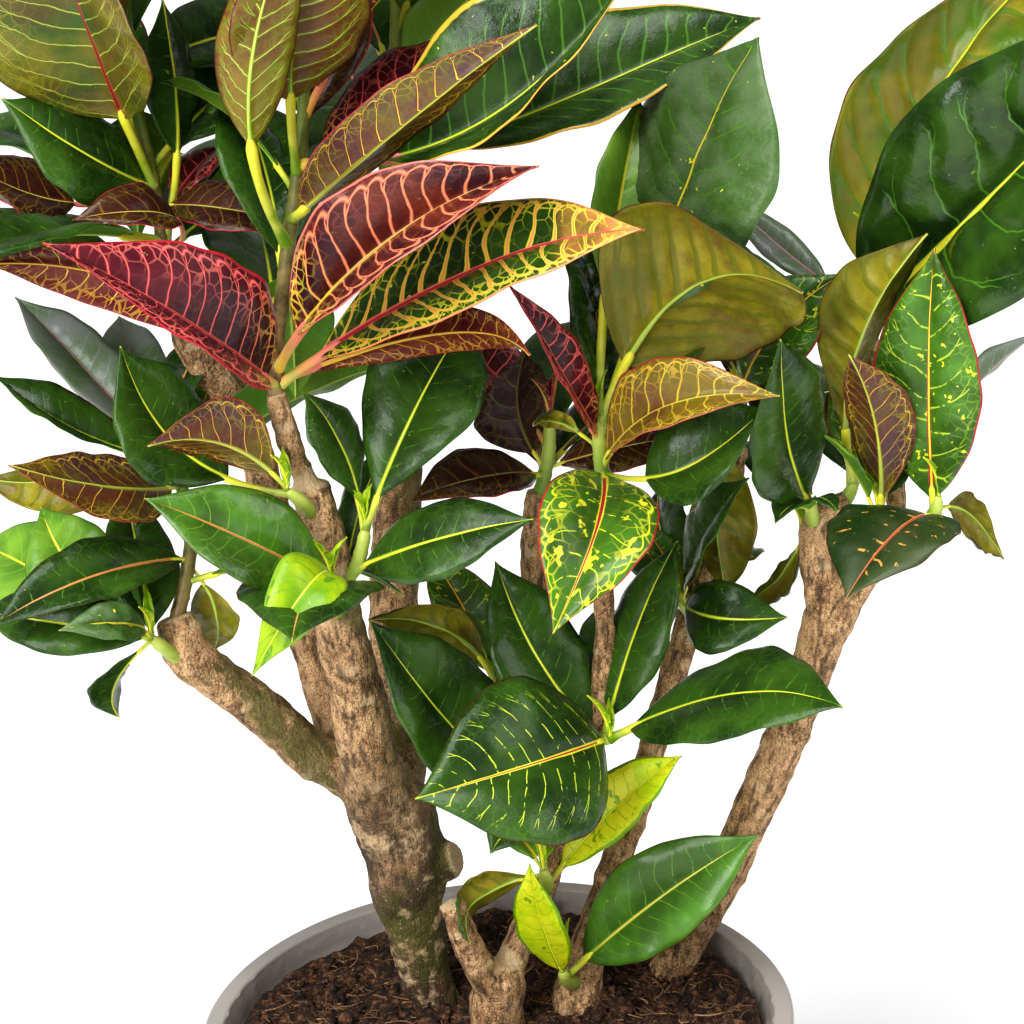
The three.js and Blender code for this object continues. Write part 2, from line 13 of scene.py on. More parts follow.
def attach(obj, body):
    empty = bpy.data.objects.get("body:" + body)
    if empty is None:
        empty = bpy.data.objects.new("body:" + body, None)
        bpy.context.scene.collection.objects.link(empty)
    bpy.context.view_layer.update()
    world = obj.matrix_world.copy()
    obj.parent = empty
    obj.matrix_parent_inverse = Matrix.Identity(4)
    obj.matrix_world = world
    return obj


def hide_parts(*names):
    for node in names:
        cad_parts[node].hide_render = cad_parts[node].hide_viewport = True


bl_info = {
    "name": "Potted croton",
    "version": (1, 0, 0),
    "blender": (4, 5, 0),
    "location": "3D View > Sidebar > Croton",
    "description": "Builds a potted croton around its packed solids",
    "category": "Add Mesh",
}

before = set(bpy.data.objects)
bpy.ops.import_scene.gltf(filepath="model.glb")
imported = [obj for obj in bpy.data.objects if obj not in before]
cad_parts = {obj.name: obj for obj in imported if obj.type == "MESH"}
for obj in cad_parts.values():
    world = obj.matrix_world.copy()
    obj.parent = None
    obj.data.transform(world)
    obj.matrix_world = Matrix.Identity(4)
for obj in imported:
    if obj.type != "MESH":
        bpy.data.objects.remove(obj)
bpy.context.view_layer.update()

MM = 0.001
FULL_TURN = 2 * math.pi

# The pot and its drain slots, in millimetres, as the solid has them
POT_HEIGHT = 240
RIM_RADIUS = 135
RIM_BAND = 20
RIM_LAND = 9
SHOULDER_RADIUS = 124
BASE_RADIUS = 97
WALL = 2.6
FLOOR = 3.5
POT_UNDER_RIM = POT_HEIGHT - RIM_BAND
THROAT = RIM_RADIUS - RIM_LAND
THROAT_RIB = 0.8
DRAIN_SLOTS = 12
DRAIN_WIDTH = 3.5
DRAIN_LENGTH = 32
DRAIN_RADIUS = 60
SOIL_TOP = 231

# Stems and leaves, in millimetres, shares and degrees
STEM_RADIUS = 3.4
STEM_SIDES = 14
LEAF_SCAR_PITCH = 6.5
PETIOLE = 1.7
WIDEST = 0.46
GOLDEN_TURN = 137.5
SEEN_CURL = 0.02
HIDDEN_CURL = 0.05
VEIN_GAP = 5
VEIN_GAP_GROWTH = 0.034
VEIN_SLANT = 0.50
VEIN_BEND = 0.34
FLANK_SHIFT = 0.42
CAMBER = 0.10
TIP_START = 0.62
FULL_SIZE_LEAF = 110
STALK_SIZES = (0.5, 1.25)
STALK_OVERLAP = 0.07

# How blades are divided: length and width of one face in millimetres, and the least and most of them
SEEN_FACE = (2.1, 4.2)
HIDDEN_FACE = (3.2, 5.5)
ROWS = (20, 76)
HALF_COLUMNS = (6, 15)
CROWDED_TO_RIB = 1.35

# Limbs and their bark, in millimetres
LIMB_SIDES = 28
LIMB_STEP = 1.5
DRAFT_STEP = 4.0
DRAFT_SHARE = 0.985
READ_AT_ONCE = 4000
SCAR_SIZE = 2.2
SCAR_SIZE_SPREAD = 1.4
SCAR_GAP = 5.5
SCAR_GAP_SPREAD = 7.5

# Peat, in millimetres: least size and spread of its clods and fibres, and the seeds of their places
SOIL_GAP = 0.3
SMALL_CLOD = (0.5, 1.6)
LARGE_CLOD = (2.2, 3.4)
FIBRE_LENGTH = 2.5
FIBRE_LENGTH_SPREAD = 15
CLOD_SEED = 11
FIBRE_SEED = 23

# The camera of the photograph: its place in metres and its tilt and roll in degrees
CAMERA_PLACE = (0.0209, -1.1479, 0.8907)
CAMERA_LENS = 100
CAMERA_DOWN = 19.54
CAMERA_ROLL = -3.5

# The lamps: kind, place in metres and, in degrees or metres, how wide each is
LAMPS = {
    "key": ("SUN", (-0.55, -0.95, 2.7), 45),
    "front": ("AREA", (-1.3, -2.1, 1.5), 1.4),
    "fill": ("AREA", (1.9, -1.0, 1.5), 1.4),
}
LAMP_TARGET = Vector((0, 0, 0.5))

# Each plant's limbs: x, y, z and radius of the points up the middle, in millimetres
PLANTS = {
    "wood_left": {
        "trunk": [(-20, 38, 150, 14), (-23, 38, 195, 14.5), (-27, 38, 213, 14), (-32, 36, 238, 12.5),
            (-36, 34, 267, 13.5), (-38, 32, 291, 17.5), (-38, 30, 312, 20), (-42, 30, 330, 20),
            (-47, 30, 345, 18)],
        "old_cut": [(-30, 30, 303, 11), (-14, 25, 309, 8)],
        "left_arm": [(-46, 30, 343, 15), (-62, 30, 353, 12), (-77, 26, 365, 10.5), (-93, 20, 387, 10.5),
            (-110, 14, 406, 10), (-124, 10, 422, 10.5), (-129, 13, 440, 8.5)],
        "front_arm": [(-47, 24, 340, 16), (-50, 10, 374, 13), (-52, 2, 404, 12.5), (-56, -6, 436, 11),
            (-58, -10, 459, 10), (-59, -12, 478, 9.5), (-62, -12, 495, 9), (-63, -12, 506, 8.5)],
        "twig": [(-61, -12, 486, 7), (-65, -12, 507, 5), (-70, -14, 524, 5), (-74, -16, 548, 4.6)],
        "mossy_arm": [(-49, 38, 336, 13), (-63, 42, 362, 9), (-71, 45, 387, 8), (-76, 50, 414, 8),
            (-82, 56, 447, 8), (-89, 60, 485, 8), (-99, 60, 522, 8.5), (-112, 58, 545, 8.5),
            (-120, 54, 574, 7.5)],
        "back_arm": [(-44, 40, 331, 15), (-37, 58, 352, 12), (-37, 70, 374, 11), (-37, 82, 405, 11.5),
            (-35, 88, 432, 11.5), (-31, 92, 460, 11), (-29, 94, 481, 10), (-30, 94, 508, 9),
            (-32, 90, 537, 8), (-31, 86, 571, 7), (-27, 80, 604, 6)],
    },
    "wood_front": {
        "trunk": [(0, 6, 155, 12), (0, 6, 209, 12.5), (0, 6, 227, 12), (0, 5, 243, 12), (2, 4, 257, 12.5),
            (4, 6, 264, 8)],
        "stub": [(1, 2, 249, 9), (-5, -3, 265, 7.5), (-11, -7, 282, 6.8), (-15, -8, 297, 6.5),
            (-17, -8, 303, 6)],
        "arm": [(3, 6, 250, 10), (9, 10, 265, 7), (17, 15, 280, 6.5), (27, 18, 298, 5.8),
            (32, 20, 317, 5.6), (38, 18, 340, 5.5), (49, 12, 367, 5.2), (55, 12, 388, 5), (58, 16, 415, 5),
            (59, 16, 443, 4.8), (61, 14, 472, 4.6), (61, 12, 492, 4.6)],
        "back_arm": [(32, 19, 314, 5), (32, 38, 339, 6.3), (28, 52, 368, 6.6), (28, 60, 399, 6.8),
            (29, 62, 428, 7), (31, 62, 452, 6.8), (34, 60, 471, 6)],
    },
    "wood_middle": {
        "trunk": [(37, 22, 155, 13), (37, 22, 193, 13.5), (37, 23, 212, 12.5), (37, 26, 231, 12),
            (44, 32, 254, 9), (52, 40, 275, 7.5), (63, 46, 301, 7.2), (72, 50, 323, 6.8),
            (81, 54, 351, 6.6), (92, 60, 383, 6.5), (101, 64, 408, 6.5), (111, 66, 433, 6),
            (118, 66, 459, 5.5), (124, 64, 486, 5)],
    },
    "wood_right": {
        "trunk": [(58, 52, 155, 11), (65, 52, 193, 11.5), (71, 52, 206, 11), (78, 52, 222, 9.5),
            (93, 50, 248, 9.3), (109, 48, 277, 9.4), (120, 47, 303, 9.6), (127, 46, 320, 10),
            (139, 44, 349, 10), (148, 42, 373, 10), (156, 40, 396, 10.5), (161, 40, 413, 11),
            (162, 40, 420, 8)],
        "left_fork": [(162, 40, 402, 10), (157, 40, 426, 8.5), (156, 40, 440, 8.3), (155, 40, 452, 7.5),
            (160, 42, 459, 6), (170, 46, 463, 5)],
        "right_fork": [(160, 38, 404, 9.5), (170, 34, 424, 7.6), (181, 32, 438, 6.8), (193, 32, 447, 6),
            (201, 30, 453, 5.4), (206, 28, 458, 5)],
        "far_twig": [(187, 32, 441, 5), (192, 42, 456, 4.6), (190, 52, 483, 4.5), (187, 58, 509, 4.4),
            (184, 62, 527, 4.2), (184, 64, 541, 4)],
    },
}

# Each shoot: its slot where it isn't leaf_green, the points up its stem, its seen leaves and the spiral
# of leaves that the photograph hides. A leaf is its kind, its height up the stem as a share, its bearing
# and rise in degrees, its length, width, arch and sweep in millimetres, its roll and fold in degrees,
# and its petiole's length. A turned leaf shows its back outwards.
SHOOTS = {
    "low_left_shoot": {
        "stem": [(-123, 10, 416), (-132, 0, 429), (-138, -5, 438)],
        "leaves": [
            ("deep", 0.98, 103, 43, 72, 34, 1, 0, 15, 12, 5),
            ("deep", 0.97, 172, 10, 78, 32, 10, -4, -44, 12, 4),
            ("bright", 0.9, 138, 36, 84, 44, 4, -8, -36, 12, 8),
            ("matte", 1, -145, 20, 45, 20, 12, -2, -45, 15, 7),
            ("deep", 0.95, 153, -60, 46, 27, 2, -12, 5, 18, 6, {"turned": True}),
            ("bright", 0.65, 142, 15, 119, 54, 8, 0, -40, 14, 12),
        ],
    },
    "left_shoot": {
        "stem": [(-129, 12, 437), (-124, 20, 453), (-121, 31, 468), (-122, 42, 483), (-132, 51, 500),
            (-137, 54, 511)],
        "leaves": [
            ("olive", 0.3, 25, -80, 44, 28, 0, -9, 150, 8, 10, {"turned": True}),
            ("deep_red", 0.32, -149, -4, 94, 34, 11, 0, -35, 20, 4),
            ("brown_net", 0.71, -140, 20, 90, 38, -10, 14, 140, 0, 8),
            ("grey", 0.93, 143, 38, 99, 32, 0, 0, -20, 25, 9),
            ("grey", 1, 104, 26, 83, 30, 3, 0, 0, 15, 8),
            ("deep", 0.85, 166, 28, 85, 32, 0, -10, -12, 30, 14),
            ("olive", 0.78, 158, -6, 100, 32, 4, 0, 150, 10, 10),
            ("deep", 0.74, -3, 25, 125, 52, 9, 0, -35, 14, 12),
        ],
        "spiral": {"seed": 12, "count": 8, "height": (0.2, 1), "bearing": (0, 130), "rise": (0, 65),
                   "length": (60, 105), "keeps": [0, 4, 6]},
    },
    "stump_shoot": {
        "stem": [(-62, -13, 490), (-66, -24, 501), (-72, -28, 509)],
        "leaves": [
            ("deep", 0.88, 165, 43, 94, 50, -15, -10, -28, 5, 25),
            ("brown_net", 0.94, -156, 29, 67, 40, 6, -8, 60, 28, 10),
        ],
    },
    "front_low_shoot": {
        "stem": [(-58, -10, 443), (-55, -22, 455), (-56, -31, 468)],
        "leaves": [
            ("fresh", 0.91, -161, 35, 92, 43, 8, -2, -56, 16, 5),
            ("lime", 0.9, -122, -15, 63, 30, 32, 2, -35, 12, 9),
            ("deep_red", 0.66, -101, 9, 75, 62, 9, 2, 0, 5, 4),
        ],
    },
    "front_side_shoot": {
        "stem": [(-56, -9, 459), (-47, -17, 468), (-43, -18, 479), (-41, -16, 487)],
        "leaves": [
            ("deep", 0.82, 166, 73, 68, 35, 3, 5, -15, 0, 18, {"widest": 0.53}),
            ("deep", 0.94, 42, 50, 102, 54, 12, 2, 24, 6, 13, {"widest": 0.57}),
            ("deep", 0.4, -23, 20, 88, 36, 8, 2, 48, 0, 8),
            ("deep", 0.27, 66, 38, 73, 28, 5, 0, -29, 14, 7),
        ],
    },
    "red_shoot": {
        "slot": "leaf_wine",
        "stem": [(-74, -16, 546), (-72, -12, 569), (-68, -8, 589), (-65, -5, 605), (-59, 0, 633),
            (-54, 5, 661), (-52, 8, 690), (-50, 10, 722), (-48, 12, 752)],
        "leaves": [
            ("wine_rib", 0.05, -26, 37, 154, 58, 12, -8, 66, 44, 23),
            ("hero", 0.02, -25, 25, 182, 56, -4, -19, 39, 16, 22),
            ("bronze", 0.03, -30, 11, 125, 22, 34, 2, -85, 24, 8),
            ("wine_net", 0.02, -143, 40, 128, 62, 16, -10, -57, 36, 10, {"widest": 0.38}),
            ("bronze", 0.03, -173, 28, 130, 28, 11, -16, 105, 12, 20),
            ("olive_dim", 0.3, -67, 73, 144, 34, 15, -15, 152, -23, 52, {"turned": True}),
            ("olive_dim", 0.44, -67, 66, 122, 60, -2, -6, 179, 12, 37, {"turned": True}),
            ("brown_net", 0.35, -30, 36, 148, 35, -15, 15, -38, 24, 10),
            ("bronze_edge", 0.46, -10, 30, 167, 82, -7, 28, 42, 39, 36),
            ("deep", 0.26, 95, -61, 78, 36, 5, 0, 8, 14, 8),
            ("deep", 0.22, 105, 42, 105, 50, 8, 0, 20, 14, 14),
            ("deep", 0.4, 140, 30, 85, 40, 8, 0, 30, 14, 14),
        ],
        "spiral": {"seed": 16, "count": 34, "height": (0.05, 1), "bearing": (-180, 180), "rise": (5, 72),
                   "length": (90, 150), "keeps": [2, 12, 15, 17, 18, 21, 23, 25, 26, 27, 28, 29, 30, 32]},
    },
    "top_left_shoot": {
        "stem": [(-120, 54, 572), (-122, 50, 599), (-123, 46, 623), (-126, 42, 654), (-127, 40, 684),
            (-126, 39, 716)],
        "leaves": [
            ("olive_red", 0.36, -126, 69, 133, 92, 5, 3, 188, 28, 38, {"turned": True}),
            ("deep", 0.36, -156, 38, 77, 48, 7, -10, -50, 0, 6),
            ("bronze", 0.34, -162, 16, 78, 37, -8, -5, -34, 10, 34),
            ("bronze", 0.12, -118, 29, 72, 28, 24, -9, -43, 18, 34),
            ("wine_net", 0.23, 47, 35, 50, 26, 4, 0, 0, 12, 14),
            ("deep", 0.18, -20, 85, 106, 30, -10, 0, -21, 10, 42, {"turned": True}),
            ("brown_net", 0.3, -26, -5, 71, 31, 5, 0, 32, 14, 7),
            ("deep", 0.63, 103, -53, 91, 35, 6, 0, 0, 14, 9),
            ("deep", 0.72, 57, -1, 106, 39, 7, 0, 44, 14, 11),
            ("deep", 0.42, 50, 22, 100, 44, 8, 0, 30, 14, 14),
            ("bronze", 0.3, 130, 12, 95, 42, 8, 0, 10, 14, 12),
            ("deep", 0.15, 55, 8, 105, 44, 8, 0, 20, 14, 12),
            ("deep", 0.6, 160, 28, 95, 44, 8, 0, 40, 14, 12),
        ],
        "spiral": {"seed": 17, "count": 22, "height": (0.05, 1), "bearing": (-180, 180), "rise": (0, 72),
                   "length": (85, 140), "keeps": [0, 2, 3, 4, 5, 7, 10, 13, 15, 16, 18, 19]},
    },
    "top_back_shoot": {
        "stem": [(-27, 80, 602), (-22, 78, 640), (-17, 76, 671), (-14, 74, 708)],
        "leaves": [
            ("bronze_edge", 0.15, 3, 19, 176, 66, 3, 6, 35, 22, 30),
        ],
        "spiral": {"seed": 18, "count": 22, "height": (0.05, 1), "bearing": (-180, 180), "rise": (0, 72),
                   "length": (90, 150), "keeps": [2, 7, 9, 10, 12, 14, 15, 17, 18, 19]},
    },
    "heart_shoot": {
        "stem": [(61, 12, 490), (60, 10, 508), (60, 10, 521)],
        "leaves": [
            ("heart", 0.16, -109, -28, 90, 53, 17, -5, -20, 20, 4),
            ("wine_net", 0.64, -143, 62, 88, 25, 4, -5, -68, 33, 6),
            ("gold_net", 0.2, -32, 27, 95, 43, 16, -5, 50, 36, 7, {"turned": True}),
            ("olive", 0.85, -37, 35, 126, 92, 28, 16, -60, 8, 22),
            ("bright", 1, 65, 62, 141, 38, 3, -6, 50, 25, 52),
            ("matte", 0.73, 2, 67, 181, 110, -7, -15, 25, -2, 41, {"widest": 0.57}),
            ("deep", 0.15, -16, 24, 78, 50, 7, 18, 46, 22, 22),
            ("olive", 0.5, -157, 29, 35, 11, 8, 0, 60, 20, 10),
            ("olive", 0.63, 96, 55, 100, 45, 7, 0, 41, 14, 10),
        ],
        "spiral": {"seed": 19, "count": 10, "height": (0.2, 1), "bearing": (10, 170), "rise": (0, 70),
                   "length": (68, 104), "keeps": [1, 3]},
    },
    "middle_shoot": {
        "stem": [(51, 12, 371), (55, 2, 374), (58, -6, 377)],
        "leaves": [
            ("deep", 0.4, 146, 57, 91, 45, 2, -8, -25, 8, 8),
            ("dashed", 0.75, -144, 3, 102, 76, 14, -3, -54, 6, 4),
            ("deep", 0.65, 34, 62, 93, 37, 4, 0, 7, -5, 11),
            ("deep", 0.93, -35, 19, 121, 58, 3, -13, 23, 0, 11),
        ],
        "spiral": {"seed": 20, "count": 4, "height": (0.4, 1), "bearing": (40, 140), "rise": (0, 60),
                   "length": (60, 90), "keeps": [1]},
    },
    "low_middle_shoot": {
        "stem": [(35, 19, 328), (28, 18, 337), (21, 17, 344)],
        "leaves": [
            ("deep", 0.95, -155, 55, 121, 58, 6, -12, -60, 12, 15),
            ("deep", 0.68, -128, -15, 40, 24, 4, 0, -20, 12, 7),
        ],
        "spiral": {"seed": 21, "count": 4, "height": (0.5, 1), "bearing": (60, 200), "rise": (0, 60),
                   "length": (60, 90), "keeps": [3]},
    },
    "back_middle_shoot": {
        "slot": "leaf_olive",
        "stem": [(28, 53, 371), (17, 45, 378), (9, 38, 384)],
        "leaves": [
            ("olive", 1, -150, 40, 81, 22, 0, -14, 65, 16, 20),
        ],
        "spiral": {"seed": 22, "count": 6, "height": (0.3, 1), "bearing": (60, 200), "rise": (-10, 60),
                   "length": (60, 100), "keeps": [3, 4, 5]},
    },
    "back_centre_shoot": {
        "slot": "leaf_wine",
        "stem": [(34, 60, 469), (39, 60, 490), (40, 60, 506)],
        "leaves": [
            ("purple", 0.35, -174, 83, 56, 42, 1, 8, 118, 10, 9),
            ("purple", 0.26, -134, 9, 84, 32, 6, 0, -30, 14, 8),
            ("brown_net", 0.35, 19, 3, 67, 25, 5, 0, 51, 14, 7),
        ],
        "spiral": {"seed": 23, "count": 14, "height": (0.1, 1), "bearing": (20, 200), "rise": (-10, 70),
                   "length": (70, 110), "keeps": [1, 3, 4, 6, 7]},
    },
    "right_back_shoot": {
        "stem": [(124, 64, 484), (126, 64, 507), (128, 64, 528)],
        "leaves": [
            ("olive", 0.3, -128, -80, 80, 36, -14, 0, 178, 14, 15),
            ("speckled", 0.55, -15, 51, 74, 40, 12, -3, 64, 5, 8),
        ],
        "spiral": {"seed": 24, "count": 14, "height": (0.1, 1), "bearing": (-20, 180), "rise": (-10, 70),
                   "length": (70, 110), "keeps": [1, 4, 7]},
    },
    "right_low_shoot": {
        "stem": [(101, 64, 405), (97, 53, 414), (94, 44, 421)],
        "leaves": [
            ("deep", 0.8, -36, 3, 54, 34, 12, 6, 60, 12, 4),
            ("deep", 0.9, -27, 62, 71, 40, 4, 0, 32, 12, 5),
            ("deep", 0.31, 97, 27, 79, 39, 6, 0, -45, 14, 8),
        ],
        "spiral": {"seed": 25, "count": 4, "height": (0.4, 1), "bearing": (0, 150), "rise": (-10, 50),
                   "length": (50, 80), "keeps": [1, 2]},
    },
    "bud_shoot": {
        "slot": "leaf_lime",
        "stem": [(41, 29, 240), (34, 14, 247), (31, 3, 259)],
        "leaves": [
            ("young", 0.9, -123, 70, 70, 26, 4, 0, 190, 12, 4),
            ("plain", 0.75, -12, 40, 117, 45, 3, -3, 66, 13, 14),
        ],
    },
    "low_centre_shoot": {
        "slot": "leaf_lime",
        "stem": [(25, 17, 292), (26, 7, 303), (25, 1, 312)],
        "leaves": [
            ("young", 0.3, -16, 47, 95, 30, -7, -7, 55, 16, 12),
            ("olive", 0.85, -133, -13, 53, 24, 18, 6, 80, 18, 5),
        ],
        "spiral": {"seed": 27, "count": 3, "height": (0.4, 1), "bearing": (30, 180), "rise": (0, 40),
                   "length": (50, 80), "keeps": [1, 2]},
    },
    "fork_shoot": {
        "stem": [(155, 40, 450), (153, 34, 463), (152, 32, 470)],
        "leaves": [
            ("deep", 0.7, -107, 61, 106, 52, -2, -6, 240, 4, 9),
            ("deep", 0.6, -125, 12, 34, 20, 5, 0, 0, 22, 4),
            ("deep", 0.9, -64, 5, 22, 12, 3, 0, 0, 15, 5),
        ],
        "spiral": {"seed": 28, "count": 6, "height": (0.3, 1), "bearing": (60, 200), "rise": (0, 60),
                   "length": (50, 85), "keeps": [1, 5]},
    },
    "fork_back_shoot": {
        "slot": "leaf_olive",
        "stem": [(156, 42, 437), (153, 51, 441), (151, 56, 444)],
        "leaves": [
            ("olive", 0.9, 172, -50, 42, 28, 3, 0, 170, 10, 6),
        ],
    },
    "upright_shoot": {
        "slot": "leaf_olive",
        "stem": [(168, 45, 461), (172, 46, 467), (175, 48, 472)],
        "leaves": [
            ("olive", 0.85, -36, 73, 124, 46, -4, 18, -43, 43, 24, {"widest": 0.62}),
        ],
        "spiral": {"seed": 29, "count": 5, "height": (0.3, 1), "bearing": (30, 150), "rise": (0, 65),
                   "length": (60, 100), "keeps": [1, 4]},
    },
    "right_inner_shoot": {
        "stem": [(182, 31, 437), (181, 28, 452), (182, 26, 463)],
        "leaves": [
            ("bright", 0.8, -170, 62, 51, 26, 3, 0, 0, 10, 14),
            ("brown_net", 0.88, -120, 71, 90, 36, 3, -5, 11, 34, 10),
            ("deep_red", 0.93, 60, 50, 34, 16, 3, 0, 30, 20, 10),
        ],
    },
    "right_end_shoot": {
        "stem": [(205, 28, 457), (207, 26, 464), (208, 25, 470)],
        "leaves": [
            ("speckled", 0.3, -95, 86, 122, 48, 0, -2, 160, 8, 8),
            ("dusky", 0.25, -127, -8, 79, 58, 11, -3, -2, 8, 7),
            ("olive", 0.5, 4, -42, 40, 32, 0, 14, 205, 0, 7),
            ("grey", 0.75, 30, 49, 89, 32, 14, -5, -58, 14, 25, {"turned": True}),
        ],
    },
    "far_right_shoot": {
        "stem": [(184, 64, 539), (184, 63, 549), (184, 61, 560), (185, 60, 572)],
        "leaves": [
            ("puckered", 0.1, -40, 45, 206, 100, -11, -2, 89, 25, 3, {"widest": 0.42}),
            ("blistered", 0.45, 15, 58, 167, 89, 19, 8, -93, -17, 8, {"widest": 0.36}),
            ("grey", 0.21, 130, 24, 95, 18, -7, -1, -33, 9, 28),
        ],
        "spiral": {"seed": 32, "count": 18, "height": (0.1, 1), "bearing": (-180, 180), "rise": (0, 72),
                   "length": (80, 130), "keeps": []},
    },
}

